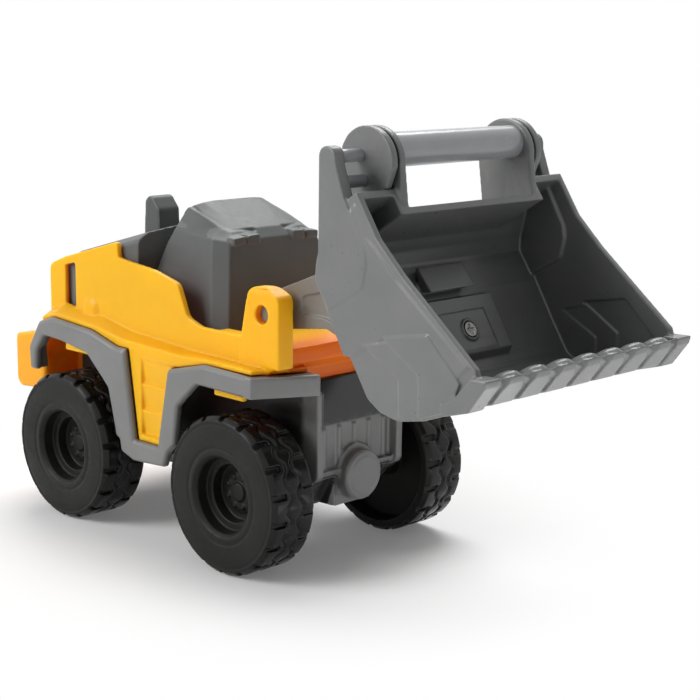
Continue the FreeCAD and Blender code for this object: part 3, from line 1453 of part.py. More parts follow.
check_and_export([
    *build_running_gear(),
    build_chassis(),
    build_screws(),
    build_fender("fender_left", 1),
    build_fender("fender_right", -1),
    build_body_shell(),
    build_cab(),
    build_hood(),
    build_grille(),
    build_counterweight(),
    build_arm(),
    build_hinge_pin(),
    build_bucket(),
    build_ear_plate("ear_plate_left", 1),
    build_ear_plate("ear_plate_right", -1),
    build_handle_rod(),
    build_cross_pins(),
    build_hinge_block(),
    build_hinge_screw(),
])
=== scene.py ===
"""Toy front loader: looks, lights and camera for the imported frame."""
import json
import math

import bmesh
import bpy
import numpy as np
from mathutils import Matrix, Vector
from mathutils.bvhtree import BVHTree
from mathutils.kdtree import KDTree


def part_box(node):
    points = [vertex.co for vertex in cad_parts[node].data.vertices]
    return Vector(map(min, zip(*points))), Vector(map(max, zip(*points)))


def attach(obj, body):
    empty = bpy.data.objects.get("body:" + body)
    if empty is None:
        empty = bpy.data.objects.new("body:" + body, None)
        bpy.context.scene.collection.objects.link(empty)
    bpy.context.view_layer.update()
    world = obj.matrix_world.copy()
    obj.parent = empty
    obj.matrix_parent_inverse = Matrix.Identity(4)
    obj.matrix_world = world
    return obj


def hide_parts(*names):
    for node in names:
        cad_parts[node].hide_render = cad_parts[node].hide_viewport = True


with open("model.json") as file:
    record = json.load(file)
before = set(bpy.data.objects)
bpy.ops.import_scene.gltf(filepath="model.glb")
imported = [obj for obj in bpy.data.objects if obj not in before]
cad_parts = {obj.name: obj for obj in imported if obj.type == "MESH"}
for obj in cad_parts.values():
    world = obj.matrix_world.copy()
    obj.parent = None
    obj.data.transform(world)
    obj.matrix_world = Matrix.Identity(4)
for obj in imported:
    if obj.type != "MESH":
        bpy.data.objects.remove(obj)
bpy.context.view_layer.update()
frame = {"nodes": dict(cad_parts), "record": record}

NODES = frame["nodes"]
RECORD = frame["record"]
BODY_OF = {node: body for body, nodes in RECORD["behaviour"]["bodies"].items() for node in nodes}
SLOT_OF = {part["node"]: part["material_slot"] for part in RECORD["subparts"]}
MM = 0.001
WHITE = (1, 1, 1, 1)
# A Mix node has a socket for each kind of value under the same name, so they go by number.
MIX_SHARE, MIX_NUMBERS, MIX_COLOURS, MIXED_NUMBER, MIXED_COLOUR = 0, (2, 3), (6, 7), 0, 2


# Materials -------------------------------------------------------------------------------------

GRAIN_HEIGHT = 0.0002
GRAIN_SCALE = 1500.0
PLASTIC_IOR = 1.5
PLASTIC_NOISE = 0.55
# Where a noise or a point's mark starts and ends to carry one tone over to the next.
CLOUD_SPAN, PATCH_SPAN = (0.35, 0.7), (0.3, 0.7)
PAINTED_OCCLUSION_SPAN, RIDGE_SPAN = (0.40, 0.95), (0.16, 0.75)
# The patches of gloss are finer than the clouds of colour, and smoother or rougher than the rest.
PATCH_SCALE, PATCH_GLOSS = 9, (0.85, 1.15)
# How deep red, green and blue light travel in the plastic, as shares of GLOW_DEPTH.
GLOW_SHARES = (1.0, 0.42, 0.06)
GLOW_DEPTH = 0.010


def srgb(code):
    """A linear colour from a six-digit sRGB code."""
    channels = [int(code[i:i + 2], 16) / 255 for i in (0, 2, 4)]
    return tuple(c / 12.92 if c < 0.04045 else ((c + 0.055) / 1.055) ** 2.4
                 for c in channels) + (1,)


class Shader:
    """A small helper that adds and links nodes of one material."""

    def __init__(self, name):
        self.material = bpy.data.materials.new(name)
        self.material.use_nodes = True
        self.tree = self.material.node_tree
        self.bsdf = self.tree.nodes["Principled BSDF"]

    def add(self, kind, **settings):
        """A new node. A setting goes to the input of its name, or else to the property."""
        node = self.tree.nodes.new(kind)
        for key, value in settings.items():
            if key in node.inputs:
                node.inputs[key].default_value = value
            else:
                setattr(node, key, value)
        return node

    def link(self, source, target):
        self.tree.links.new(source, target)

    def noise(self, coords, scale, detail, roughness=0.5):
        """Soft noise over the object's own coordinates."""
        node = self.add("ShaderNodeTexNoise", Scale=scale, Detail=detail, Roughness=roughness)
        self.link(coords.outputs["Object"], node.inputs["Vector"])
        return node.outputs["Fac"]

    def ranged(self, value, low, high, to_low=0.0, to_high=1.0):
        """The value carried from low..high to to_low..to_high, and held at the ends."""
        node = self.add("ShaderNodeMapRange", **{"From Min": low, "From Max": high,
                                                 "To Min": to_low, "To Max": to_high})
        self.link(value, node.inputs["Value"])
        return node.outputs["Result"]

    def mixed(self, share, first, second):
        """A mix of two colours; each is a colour or another node's output."""
        node = self.add("ShaderNodeMix", data_type="RGBA")
        self.link(share, node.inputs[MIX_SHARE])
        for index, colour in zip(MIX_COLOURS, (first, second)):
            if isinstance(colour, tuple):
                node.inputs[index].default_value = colour
            else:
                self.link(colour, node.inputs[index])
        return node.outputs[MIXED_COLOUR]

    def blended(self, share, value, limit):
        """A mix of a node's value and a plain number."""
        node = self.add("ShaderNodeMix", data_type="FLOAT")
        self.link(share, node.inputs[MIX_SHARE])
        self.link(value, node.inputs[MIX_NUMBERS[0]])
        node.inputs[MIX_NUMBERS[1]].default_value = limit
        return node.outputs[MIXED_NUMBER]

    def relief(self, height, strength):
        """Carry a value to the shader as fine relief."""
        node = self.add("ShaderNodeBump", Strength=strength, Distance=GRAIN_HEIGHT)
        self.link(height, node.inputs["Height"])
        self.link(node.outputs["Normal"], self.bsdf.inputs["Normal"])


def plastic(name, colour, shade, roughness=0.4, edge_wear_and_highlight=None, hollow=None, specular=0.5, mottle=60.0,
            bump=0.05, glow=0.0, gloss_and_shade_tone=None):
    """Moulded plastic: two close tones in soft clouds, uneven gloss, fine grain, paler ridges.

    The ridge colour is part wear, part painted highlight; the hollow colour is painted shade
    (painted light on the cab) where the skin opens on little but its own body; glow is how much
    light passes through; the glossy parts' colour and gloss come last, their colour on the
    chassis being painted shade."""
    sh = Shader(name)
    coords = sh.add("ShaderNodeTexCoord")
    clouds = sh.noise(coords, mottle, 4.0, PLASTIC_NOISE)
    result = sh.mixed(sh.ranged(clouds, *CLOUD_SPAN), srgb(colour), srgb(shade))
    # Painted shade: places shut in by the part's own body take the hollow colour.
    if hollow:
        occluded_share = sh.add("ShaderNodeAttribute", attribute_name="hollow")
        result = sh.mixed(sh.ranged(occluded_share.outputs["Fac"], *PAINTED_OCCLUSION_SPAN), result, srgb(hollow))
    # Ridges take a paler colour: partly rubbed wear, partly painted highlight.
    if edge_wear_and_highlight:
        ridge = sh.add("ShaderNodeAttribute", attribute_name="ridge")
        result = sh.mixed(sh.ranged(ridge.outputs["Fac"], *RIDGE_SPAN), result, srgb(edge_wear_and_highlight))
    patches = sh.noise(coords, mottle * PATCH_SCALE, 5.0, PLASTIC_NOISE)
    rough = sh.ranged(patches, *PATCH_SPAN, *(roughness * share for share in PATCH_GLOSS))
    # Glossy parts take their own gloss and colour; on the chassis panel that colour is painted
    # shade.
    if gloss_and_shade_tone:
        gloss_and_shade_share = sh.add("ShaderNodeAttribute", attribute_name="gloss_and_shade").outputs["Fac"]
        result = sh.mixed(gloss_and_shade_share, result, srgb(gloss_and_shade_tone[0]))
        rough = sh.blended(gloss_and_shade_share, rough, gloss_and_shade_tone[1])
    sh.link(result, sh.bsdf.inputs["Base Color"])
    sh.link(rough, sh.bsdf.inputs["Roughness"])
    sh.relief(sh.noise(coords, GRAIN_SCALE, 2.0, PLASTIC_NOISE), bump)
    sh.bsdf.inputs["IOR"].default_value = PLASTIC_IOR
    sh.bsdf.inputs["Specular IOR Level"].default_value = specular
    if glow:
        sh.bsdf.inputs["Subsurface Weight"].default_value = glow
        sh.bsdf.inputs["Subsurface Radius"].default_value = GLOW_SHARES
        sh.bsdf.inputs["Subsurface Scale"].default_value = GLOW_DEPTH
    return sh.material


def steel(name):
    """Drawn rod: pale metal, finely mottled."""
    sh = Shader(name)
    coords = sh.add("ShaderNodeTexCoord")
    drawn = sh.noise(coords, 420.0, 3.0)
    sh.link(sh.mixed(drawn, srgb("8E8E8B"), srgb("6C6C6A")), sh.bsdf.inputs["Base Color"])
    sh.relief(drawn, 0.15)
    sh.bsdf.inputs["Metallic"].default_value = 1.0
    sh.bsdf.inputs["Roughness"].default_value = 0.32
    return sh.material


LOOKS = {
    # The yellows' hollow colour is painted shade, the orange of this plastic in shadow.
    "body_yellow": plastic("body_yellow", "FDB70A", "FAB207", roughness=0.40, edge_wear_and_highlight="FFC42C",
                           hollow="EE5E0C", specular=0.30, glow=0.35),
    "counterweight_yellow": plastic("counterweight_yellow", "FAAA14", "F6A410", roughness=0.40,
                                    edge_wear_and_highlight="FDB82C", hollow="EE5E0C", specular=0.30, glow=0.35),
    "frame_grey": plastic("frame_grey", "787978", "727372", roughness=0.36, edge_wear_and_highlight="A8AAA9",
                          hollow="2A2B2B", gloss_and_shade_tone=("1C1D1E", 0.12)),
    "bucket_grey": plastic("bucket_grey", "747574", "6E7070", roughness=0.32, edge_wear_and_highlight="B4B6B5",
                           hollow="4C4E4E"),
    # The cab's hollow colour is lighter than its base: painted light in its shut-in places.
    "cab_grey": plastic("cab_grey", "5E6060", "595B5B", roughness=0.40, edge_wear_and_highlight="9A9C9C",
                        hollow="6C6E6E", specular=0.22),
    "grille_black": plastic("grille_black", "2B2D2E", "252728", roughness=0.45, edge_wear_and_highlight="4A4C4D"),
    "arm_grey": plastic("arm_grey", "7A7670", "736F69", roughness=0.40, edge_wear_and_highlight="A09D98",
                        hollow="55524D"),
    "rod_grey": plastic("rod_grey", "A2A5A8", "9C9FA2", roughness=0.24, specular=0.8),
    "wheel_black": plastic("wheel_black", "1D1C1B", "171615", roughness=0.50, edge_wear_and_highlight="484746",
                           specular=0.20, bump=0.10, gloss_and_shade_tone=("1A1918", 0.17)),
    "steel": steel("steel"),
}
# Finishes whose hollows are painted a shade colour (a lighter one on the cab).
PAINTED_OCCLUSION_SLOTS = ("body_yellow", "counterweight_yellow", "frame_grey", "bucket_grey", "cab_grey",
            "arm_grey")


# Mouldings -------------------------------------------------------------------------------------
#
# Each moulding is its CAD solid with the small forms melted in and every corner rounded, as a
# moulded part's are. Sizes here are in millimetres, in the frame's own axes.

def prism(outline, low, high):
    """A closed solid: (x, z) corners run across from y = low to y = high."""
    count = len(outline)
    verts = [(x * MM, y * MM, z * MM) for y in (low, high) for x, z in outline]
    faces = [tuple(range(count)), tuple(range(2 * count - 1, count - 1, -1))]
    for i in range(count):
        j = (i + 1) % count
        faces.append((i, i + count, j + count, j))
    return verts, faces


def disc(x, z, radius, low, high, sides=24):
    """A round prism about a line along Y."""
    turns = [math.tau * i / sides for i in range(sides)]
    return prism([(x + radius * math.cos(a), z + radius * math.sin(a)) for a in turns], low, high)


def ringed_faces(rings, spokes):
    """Faces over a first point and the rings of points round it, numbered outward."""
    faces = []
    for spoke in range(spokes):
        after = (spoke + 1) % spokes
        faces.append((0, 1 + spoke, 1 + after))
        for ring in range(rings - 1):
            near, far = 1 + ring * spokes, 1 + (ring + 1) * spokes
            faces.append((near + spoke, far + spoke, far + after, near + after))
    return faces


def applied(piece, kind, **settings):
    """Run one modifier on a piece and keep its result as the piece's own mesh."""
    modifier = piece.modifiers.new(kind.lower(), kind)
    for key, value in settings.items():
        setattr(modifier, key, value)
    graph = bpy.context.evaluated_depsgraph_get()
    result = bpy.data.meshes.new_from_object(piece.evaluated_get(graph))
    piece.modifiers.clear()
    spent, piece.data = piece.data, result
    bpy.data.meshes.remove(spent)


def read(mesh, what):
    """A mesh's points ("co") or their normals ("normal"), one row each, in metres."""
    values = np.empty(len(mesh.vertices) * 3, dtype=np.float32)
    mesh.vertices.foreach_get(what, values)
    return values.reshape(-1, 3).astype(np.float64)


def write_points(mesh, points):
    mesh.vertices.foreach_set("co", points.astype(np.float32).ravel())
    mesh.update()


def gap_to_path(points, path):
    """Each point's distance from a polyline."""
    best = np.full(len(points), 1e9)
    for start, end in zip(path, path[1:]):
        start, end = np.array(start, float), np.array(end, float)
        along = end - start
        share = np.clip((points - start) @ along / (along @ along), 0, 1)
        best = np.minimum(best, np.linalg.norm(points - start - share[:, None] * along, axis=1))
    return best


def swell(x):
    """A smooth hump: 1 at 0, falling to 0 at 1."""
    x = np.clip(np.abs(x), 0, 1)
    return 1 - x * x * (3 - 2 * x)


def score(points, normals, path, width, depth):
    """Press a soft groove (or raise a bead, where depth is negative) along a line on the skin."""
    return points - normals * (depth * swell(gap_to_path(points, path) / width))[:, None]


def mark(mesh, name, values):
    """Write one number for each point of a mesh, for its material to read."""
    mesh.attributes.new(name, "FLOAT", "POINT").data.foreach_set("value", values)


def mark_ridges(mesh, dense, ridge):
    """Give each point of the thinned mesh, as "ridge", how far the skin rounds over there."""
    tree = KDTree(len(dense))
    for index, point in enumerate(dense):
        tree.insert(point, index)
    tree.balance()
    mark(mesh, "ridge", [float(ridge[tree.find(v.co)[1]]) for v in mesh.vertices])


def hemisphere(count):
    """Directions spread evenly about +Z, denser toward it."""
    golden = math.pi * (3 - math.sqrt(5))
    rise = [math.sqrt(1 - (i + 0.5) / count) for i in range(count)]
    return np.array([(math.sqrt(1 - z * z) * math.cos(golden * i),
                      math.sqrt(1 - z * z) * math.sin(golden * i), z)
                     for i, z in enumerate(rise)])


RAYS = hemisphere(12)
RAY_LIFT, RAY_REACH = 0.9, 35
SHADE_TREES = {}


def shade_tree(body):
    """The solids of one body as one tree for rays, made once."""
    if body not in SHADE_TREES:
        corners, faces = [], []
        for node, owner in BODY_OF.items():
            if owner == body:
                base = len(corners)
                corners += [v.co for v in NODES[node].data.vertices]
                faces += [[base + i for i in f.vertices] for f in NODES[node].data.polygons]
        SHADE_TREES[body] = BVHTree.FromPolygons(corners, faces)
    return SHADE_TREES[body]


def mark_hollows(mesh, body):
    """Give each point the share of its outlook that its own body shuts off, the strength of its
    painted shade.
    """
    tree = shade_tree(body)
    points, normals = read(mesh, "co"), read(mesh, "normal")
    helper = np.where(np.abs(normals[:, 2:]) < 0.9, [[0.0, 0.0, 1.0]], [[1.0, 0.0, 0.0]])
    first = np.cross(helper, normals)
    first /= np.linalg.norm(first, axis=1)[:, None] + 1e-12
    second = np.cross(normals, first)
    starts = points + normals * RAY_LIFT * MM
    occluded_share = np.zeros(len(points))
    for ray in RAYS:
        ways = first * ray[0] + second * ray[1] + normals * ray[2]
        occluded_share += [tree.ray_cast(Vector(start), Vector(way), RAY_REACH * MM)[0] is not None
                 for start, way in zip(starts, ways)]
    mark(mesh, "hollow", occluded_share / len(RAYS))


def deepen_painted_occlusion(piece, share):
    """Raise a moulding's painted-shade numbers where a given share of shade is higher."""
    held = piece.data.attributes["hollow"].data
    values = np.empty(len(held))
    held.foreach_get("value", values)
    points, normals = read(piece.data, "co") / MM, read(piece.data, "normal")
    held.foreach_set("value", np.maximum(values, share(points, normals)))


def front_deck_painted_shade(points, normals):
    """Painted orange shade on the deck between the towers, where the yellow plastic lies in
    shadow.
    """
    share, half_width, rear, top = 0.86, 31.5, 4, 92
    return (share * np.clip((half_width - np.abs(points[:, 1])) / 2, 0, 1)
            * np.clip((points[:, 0] - rear) / 3, 0, 1) * np.clip((top - points[:, 2]) / 3, 0, 1))


def apron_shade(points, normals):
    """The walls inside the wheel wells, darkest high up."""
    share, half_width, front = 0.95, 41, 25.5
    level = np.abs(points[:, 1])
    upright = np.clip((np.abs(normals[:, 1]) - 0.5) * 4, 0, 1)
    return (share * upright * np.clip(half_width - level, 0, 1)
            * np.clip((front - points[:, 0]) / 3, 0.4, 1)
            * np.clip((points[:, 2] + 2) / 30, 0.2, 1))


def moulding(node, voxel, rounds, keep, extras=(), shape=None):
    """Put a softened copy of a CAD node in its place."""
    form = bmesh.new()
    form.from_mesh(NODES[node].data)
    for verts, faces in extras:
        made = [form.verts.new(v) for v in verts]
        for face in faces:
            form.faces.new([made[i] for i in face])
    bmesh.ops.recalc_face_normals(form, faces=form.faces[:])
    mesh = bpy.data.meshes.new(node + "_moulded")
    form.to_mesh(mesh)
    form.free()
    piece = bpy.data.objects.new(node + "_moulded", mesh)
    bpy.context.scene.collection.objects.link(piece)
    applied(piece, "REMESH", mode="VOXEL", voxel_size=voxel * MM)
    if shape:
        points, normals = read(piece.data, "co") / MM, read(piece.data, "normal")
        write_points(piece.data, shape(points, normals) * MM)
    before, normals = read(piece.data, "co"), read(piece.data, "normal")
    applied(piece, "SMOOTH", factor=0.5, iterations=rounds)
    dense = read(piece.data, "co")
    ridge = np.einsum("ij,ij->i", before - dense, normals) / (voxel * MM)
    applied(piece, "DECIMATE", ratio=keep)
    mark_ridges(piece.data, dense, ridge)
    if SLOT_OF[node] in PAINTED_OCCLUSION_SLOTS:
        mark_hollows(piece.data, BODY_OF[node])
    finish(piece, node)
    return piece


def finish(piece, node):
    """Smooth shading, the node's own finish, and its place on the node's body."""
    piece.data.shade_smooth()
    piece.data.materials.clear()
    piece.data.materials.append(LOOKS[SLOT_OF[node]])
    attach(piece, BODY_OF[node])
    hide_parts(node)


for node, slot in SLOT_OF.items():
    NODES[node].data.materials.clear()
    NODES[node].data.materials.append(LOOKS[slot])


# Wheels ----------------------------------------------------------------------------------------

def wheel_nuts(x, z, face):
    """A hub plate with a ring of nuts round a low cap, sunk in the dish."""
    count, ring, nut_radius, plate = 8, 5.5, 0.95, face - 9.4
    solids = [disc(x, z, 7.4, face - 10.6, face - 9.2, 40), disc(x, z, 3.3, plate, face - 7.9)]
    for index in range(count):
        turn = math.tau * (index + 0.5) / count
        solids.append(disc(x + ring * math.cos(turn), z + ring * math.sin(turn), nut_radius,
                           plate, face - 8.1, 6))
    return solids


def tyre_grooves(x, z, face, back):
    """A shaping step: a zigzag groove near each edge of the tread, and rings on the sidewall."""
    zigzags, inset, swing, steepness, width, depth = 18, 7.1, 1.1, 1.8, 1.0, 1.0

    def shape(points, normals):
        away = points - np.array([x, 0, z])
        radius = np.hypot(away[:, 0], away[:, 2])
        turn = np.arctan2(away[:, 2], away[:, 0]) / math.tau * zigzags
        outward = np.stack([away[:, 0], 0 * radius, away[:, 2]], axis=1) / radius[:, None]
        on_tread = (radius > 26.6) & (np.abs(normals[:, 1]) < 0.75)
        for middle, phase in ((face - inset, 0.0), (back + inset, 0.5)):
            saw = np.abs((turn + phase) % 1 - 0.5) * 4 - 1
            offset = points[:, 1] - middle - swing * np.clip(saw * steepness, -1, 1)
            points = points - outward * (depth * swell(offset / width) * on_tread)[:, None]
        side = np.sign(normals[:, 1]) * (np.abs(normals[:, 1]) > 0.8)
        on_face = (points[:, 1] > face - 1.2) & (side > 0)
        for ring, half_width, rise in ((16.9, 0.9, -0.35), (25.2, 0.7, -0.25)):
            points[:, 1] += on_face * rise * swell((radius - ring) / half_width)
        return points
    return shape


POLISH_RADIUS, POLISH_FADE = 26.2, 1.2


def build_wheels():
    """One wheel is moulded, and the other three are its copies, turned or moved."""
    low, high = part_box("wheel_front_left")
    x, z = (low[0] + high[0]) / 2 / MM, (low[2] + high[2]) / 2 / MM
    back, face = low[1] / MM, high[1] / MM
    first = moulding("wheel_front_left", 0.34, 3, 0.16, wheel_nuts(x, z, face),
                     tyre_grooves(x, z, face, back))
    points = read(first.data, "co")
    radius = np.hypot(points[:, 0] - x * MM, points[:, 2] - z * MM) / MM
    mark(first.data, "gloss_and_shade", np.clip((radius - POLISH_RADIUS) / POLISH_FADE, 0, 1))
    for node in ("wheel_front_right", "wheel_rear_left", "wheel_rear_right"):
        mesh = first.data.copy()
        moved = points.copy()
        other_low, other_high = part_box(node)
        if node.endswith("right"):
            # Half a turn about the upright axis keeps the faces the right way out.
            moved[:, 0] = 2 * x * MM - moved[:, 0]
            moved[:, 1] = -moved[:, 1]
        moved[:, 0] += (other_low[0] + other_high[0]) / 2 - x * MM
        write_points(mesh, moved)
        piece = bpy.data.objects.new(node + "_moulded", mesh)
        bpy.context.scene.collection.objects.link(piece)
        finish(piece, node)


# Body and running gear -------------------------------------------------------------------------

def dome_cab(points, normals):
    """Bow the roof: its rim falls away from a high middle. Two vents sit behind the lamps."""
    middle_x, half_length, half_width, fall, roof_z = -31.0, 21, 23, 1.9, 108
    reach = ((points[:, 0] - middle_x) / half_length) ** 2 + (points[:, 1] / half_width) ** 2
    roof = np.clip((points[:, 2] - roof_z) / 8, 0, 1)
    points[:, 2] -= roof * (fall * np.clip(reach - 0.25, 0, 1.2))
    top = points[:, 2] > 100
    for side in (-1, 1):
        vent = [(-19.4, side * 15.5, 113.4), (-17.8, side * 7.5, 113.8)]
        points = score(points, normals * top[:, None], vent, 1.3, 1.1)
        rail = [(-41, side * 17.5, 121.5), (-33, side * 18.6, 119.6), (-22, side * 17.6, 116.0)]
        points = score(points, normals * top[:, None], rail, 0.8, 0.3)
    return points


def chassis_extras():
    """The gear housing's domed cover stands in front of the axle beam."""
    solids = []
    back, level = 24.0, 31.4
    for radius, front in ((9.0, 32.2), (8.2, 32.8), (6.6, 33.2)):
        verts, faces = disc(0, 0, radius, back, front, 40)
        # Turned from a line along Y to one along X, about the axle's height.
        solids.append(([(y, x, z + level * MM) for x, y, z in verts], faces))
    return solids


def lean_chin(points, normals):
    """The front plate's foot draws back toward the axle."""
    cover_radius, slope, bend_z, height = 9.4, 0.55, 34, 14
    front = np.clip((points[:, 0] - 20) / 6, 0, 1) * (np.abs(points[:, 1]) > cover_radius)
    points[:, 0] -= front * slope * np.clip(bend_z - points[:, 2], 0, height)
    return points


def glossy_shaded_panel(points):
    """1 on the glossy panel above the ribbed front plate, painted dark as shade, fading to 0 at
    its edges.
    """
    return (np.clip((points[:, 0] - 17) / 3, 0, 1) * np.clip((points[:, 2] - 50) / 0.8, 0, 1)
            * np.clip((20 - np.abs(points[:, 1])) / 0.8, 0, 1))


def body_extras():
    """A small moulded pip, in two steps, on each flank."""
    pip_x, pip_z, flank = -75.5, 80.6, 34.5
    pips = []
    for side in (-1, 1):
        for radius, reach in ((4.4, 37.7), (3.2, 38.3)):
            pips.append(disc(pip_x, pip_z, radius, *sorted((side * flank, side * reach)), 20))
    return pips


def round_towers(points, normals):
    """The towers' heads are round-shouldered, from the side and from the front."""
    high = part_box("body_shell")[1]
    top, round_side, round_end, head_height = high_tower_z(points), 5.0, 2.6, 9
    rear, outer, inner = 12.6, 37.5, 30.7
    tower = ((points[:, 2] > top - head_height) & (np.abs(points[:, 1]) > 29.8)
             & (points[:, 0] > 6))
    for edge, way in ((high[0] / MM - 0.1, 1), (rear, -1)):
        centre = np.array((edge - way * round_side, top - round_side))
        away = points[:, [0, 2]] - centre
        reach = np.linalg.norm(away, axis=1)
        pull = tower & (way * away[:, 0] > 0) & (away[:, 1] > 0) & (reach > round_side)
        points[pull, 0] = centre[0] + away[pull, 0] * round_side / reach[pull]
        points[pull, 2] = centre[1] + away[pull, 1] * round_side / reach[pull]
    for level, way in ((outer, 1), (inner, -1)):
        side = np.sign(points[:, 1])
        centre = np.array((level - way * round_end, top - round_end))
        away = np.stack([np.abs(points[:, 1]), points[:, 2]], axis=1) - centre
        reach = np.linalg.norm(away, axis=1)
        pull = tower & (way * away[:, 0] > 0) & (away[:, 1] > 0) & (reach > round_end)
        points[pull, 1] = side[pull] * (centre[0] + away[pull, 0] * round_end / reach[pull])
        points[pull, 2] = centre[1] + away[pull, 1] * round_end / reach[pull]
    return points


def high_tower_z(points):
    """The level of the towers' flat tops."""
    heads = (np.abs(points[:, 1]) > 31) & (points[:, 0] > 14)
    return points[heads, 2].max()


def fill_seam(points, normals):
    """Bring a fender's top up to the body that rests on it."""
    seam = 0.42
    points[:, 2] += seam * np.clip(normals[:, 2] * 2 - 0.6, 0, 1)
    return points


# Bucket ----------------------------------------------------------------------------------------

TOOTH_PITCH = 12.5
TOOTH_RADII, TOOTH_TILT = (6.6, 5.3, 2.6), -0.62
TIP_X, TIP_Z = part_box("bucket_shell")[1][0] / MM, 88.8
BLOCK_OUTLINE = [(68.8, 98.6), (72.6, 99.6), (82.8, 83.0), (80.6, 79.0)]
BLOCK_HALF_WIDTH = 18.5
CHEEK_SEAM = [(80.9, 123.8), (85.7, 119.6), (92.9, 112.6), (121.0, 91.2)]
CHEEK_Y = 50.8


def lobe(x, y, z, radii, tilt, rings=8, spokes=16):
    """A closed egg-shaped solid, tipped by tilt about a line along Y."""
    verts = [(0.0, 0.0, radii[2])]
    for ring in range(1, rings):
        fall = math.pi * ring / rings
        for spoke in range(spokes):
            turn = math.tau * spoke / spokes
            verts.append((radii[0] * math.sin(fall) * math.cos(turn),
                          radii[1] * math.sin(fall) * math.sin(turn), radii[2] * math.cos(fall)))
    foot, last = len(verts), len(verts) - spokes
    verts.append((0.0, 0.0, -radii[2]))
    faces = ringed_faces(rings - 1, spokes)
    faces += [(foot, last + (spoke + 1) % spokes, last + spoke) for spoke in range(spokes)]
    turned = Matrix.Translation((x * MM, y * MM, z * MM)) @ Matrix.Rotation(tilt, 4, "Y")
    return [tuple(turned @ (Vector(v) * MM)) for v in verts], faces


def bucket_extras():
    """Rounded teeth along the lip, and the stiffening block behind the hinge screw's pad."""
    solids = [lobe(TIP_X - 6.2, index * TOOTH_PITCH, TIP_Z - 3.4, TOOTH_RADII, TOOTH_TILT)
              for index in range(-3, 4)]
    solids.append(prism(BLOCK_OUTLINE, -BLOCK_HALF_WIDTH, BLOCK_HALF_WIDTH))
    return solids


def part_teeth(points, normals):
    """Slots part the teeth at the lip's edge, and a bead follows each cheek's seam."""
    slot_width, slot_depth, bead_width, bead_rise = 1.5, 1.3, 0.9, 0.3
    for index in range(-4, 4):
        y = (index + 0.5) * TOOTH_PITCH
        slot = [(TIP_X + 1, y, TIP_Z + 0.5), (TIP_X - 2.2, y, TIP_Z - 3.6)]
        points = score(points, normals, slot, slot_width, slot_depth)
    for side in (-1, 1):
        seam = [(x, side * CHEEK_Y, z) for x, z in CHEEK_SEAM]
        points = score(points, normals, seam, bead_width, -bead_rise)
    return points


# Screws ----------------------------------------------------------------------------------------

def cross_recess(heads, axis):
    """Press a cross into every screw head that looks along axis."""
    cross_reach, bar_half_width, depth = 1.7, 0.42, 0.8
    axis = np.array(axis, float)
    across = np.array((0.0, 1.0, 0.0))
    along = np.cross(axis, across)

    def shape(points, normals):
        facing = normals @ axis > 0.7
        for head in heads:
            away = points - np.array(head)
            u, v = away @ across, away @ along
            near = (np.hypot(u, v) < cross_reach) & facing & (np.abs(away @ axis) < 1.0)
            bar = np.minimum(np.abs(u), np.abs(v)) < bar_half_width
            points = points - axis * (depth * (near & bar))[:, None]
        return points
    return shape


def build_screws():
    """The screws' cross recesses, pressed into the heads at the corners of the screws' box."""
    radius = 2.6
    low, high = (np.array(corner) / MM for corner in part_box("body_screws"))
    heads = [(x, y, low[2]) for x in (low[0] + radius, high[0] - radius)
             for y in (low[1] + radius, high[1] - radius)]
    moulding("body_screws", 0.16, 1, 0.1, shape=cross_recess(heads, (0, 0, -1)))
    # The hinge screw looks out of its pad, forward and up.
    axis = Vector((0.8575, 0, 0.5145))
    low, high = (np.array(corner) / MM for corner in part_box("hinge_screw"))
    head = (high[0] - radius * axis.z, 0, high[2] - radius * axis.x)
    moulding("hinge_screw", 0.14, 1, 0.14, shape=cross_recess([head], axis))


def build_mouldings():
    """Every moulded piece: its voxel in mm, rounds of smoothing and share of faces kept."""
    build_wheels()
    deepen_painted_occlusion(moulding("body_shell", 0.42, 6, 0.14, body_extras(), round_towers), front_deck_painted_shade)
    moulding("cab", 0.42, 7, 0.14, shape=dome_cab)
    moulding("engine_hood", 0.45, 10, 0.14)
    chassis = moulding("chassis", 0.42, 3, 0.16, chassis_extras(), lean_chin)
    deepen_painted_occlusion(chassis, apron_shade)
    # The panel above the front plate: glossy, and painted dark as shade.
    mark(chassis.data, "gloss_and_shade", glossy_shaded_panel(read(chassis.data, "co") / MM))
    for node in ("fender_left", "fender_right"):
        deepen_painted_occlusion(moulding(node, 0.4, 11, 0.2, shape=fill_seam), apron_shade)
    moulding("rear_counterweight", 0.45, 7, 0.16)
    moulding("bucket_shell", 0.38, 3, 0.14, bucket_extras(), part_teeth)
    moulding("lift_arm", 0.36, 2, 0.2)
    for node in ("ear_plate_left", "ear_plate_right"):
        moulding(node, 0.34, 4, 0.2)
    build_screws()


build_mouldings()


# Stage, lights and camera ----------------------------------------------------------------------

def seen_rays(tree):
    """1 for the rays that show a background: camera, mirror-like and see-through rays."""
    path = tree.nodes.new("ShaderNodeLightPath")
    total = path.outputs["Is Camera Ray"]
    for kind in ("Is Glossy Ray", "Is Transmission Ray"):
        either = tree.nodes.new("ShaderNodeMath")
        either.operation = "MAXIMUM"
        tree.links.new(total, either.inputs[0])
        tree.links.new(path.outputs[kind], either.inputs[1])
        total = either.outputs[0]
    return total


# The sheet's shaded part is an oval under the vehicle: its shift and stretch, the distances
# between which it fades to white, and the share of white at its middle.
FLOOR_SHIFT, FLOOR_STRETCH = (0.036, 0.0, 0.0), (0.82, 1.0, 1.0)
FLOOR_FADE = {"From Min": 0.06, "From Max": 0.142, "To Min": 0.12}
PAPER_TONES = ((0.925, 0.925, 0.925, 1), (0.935, 0.935, 0.935, 1))


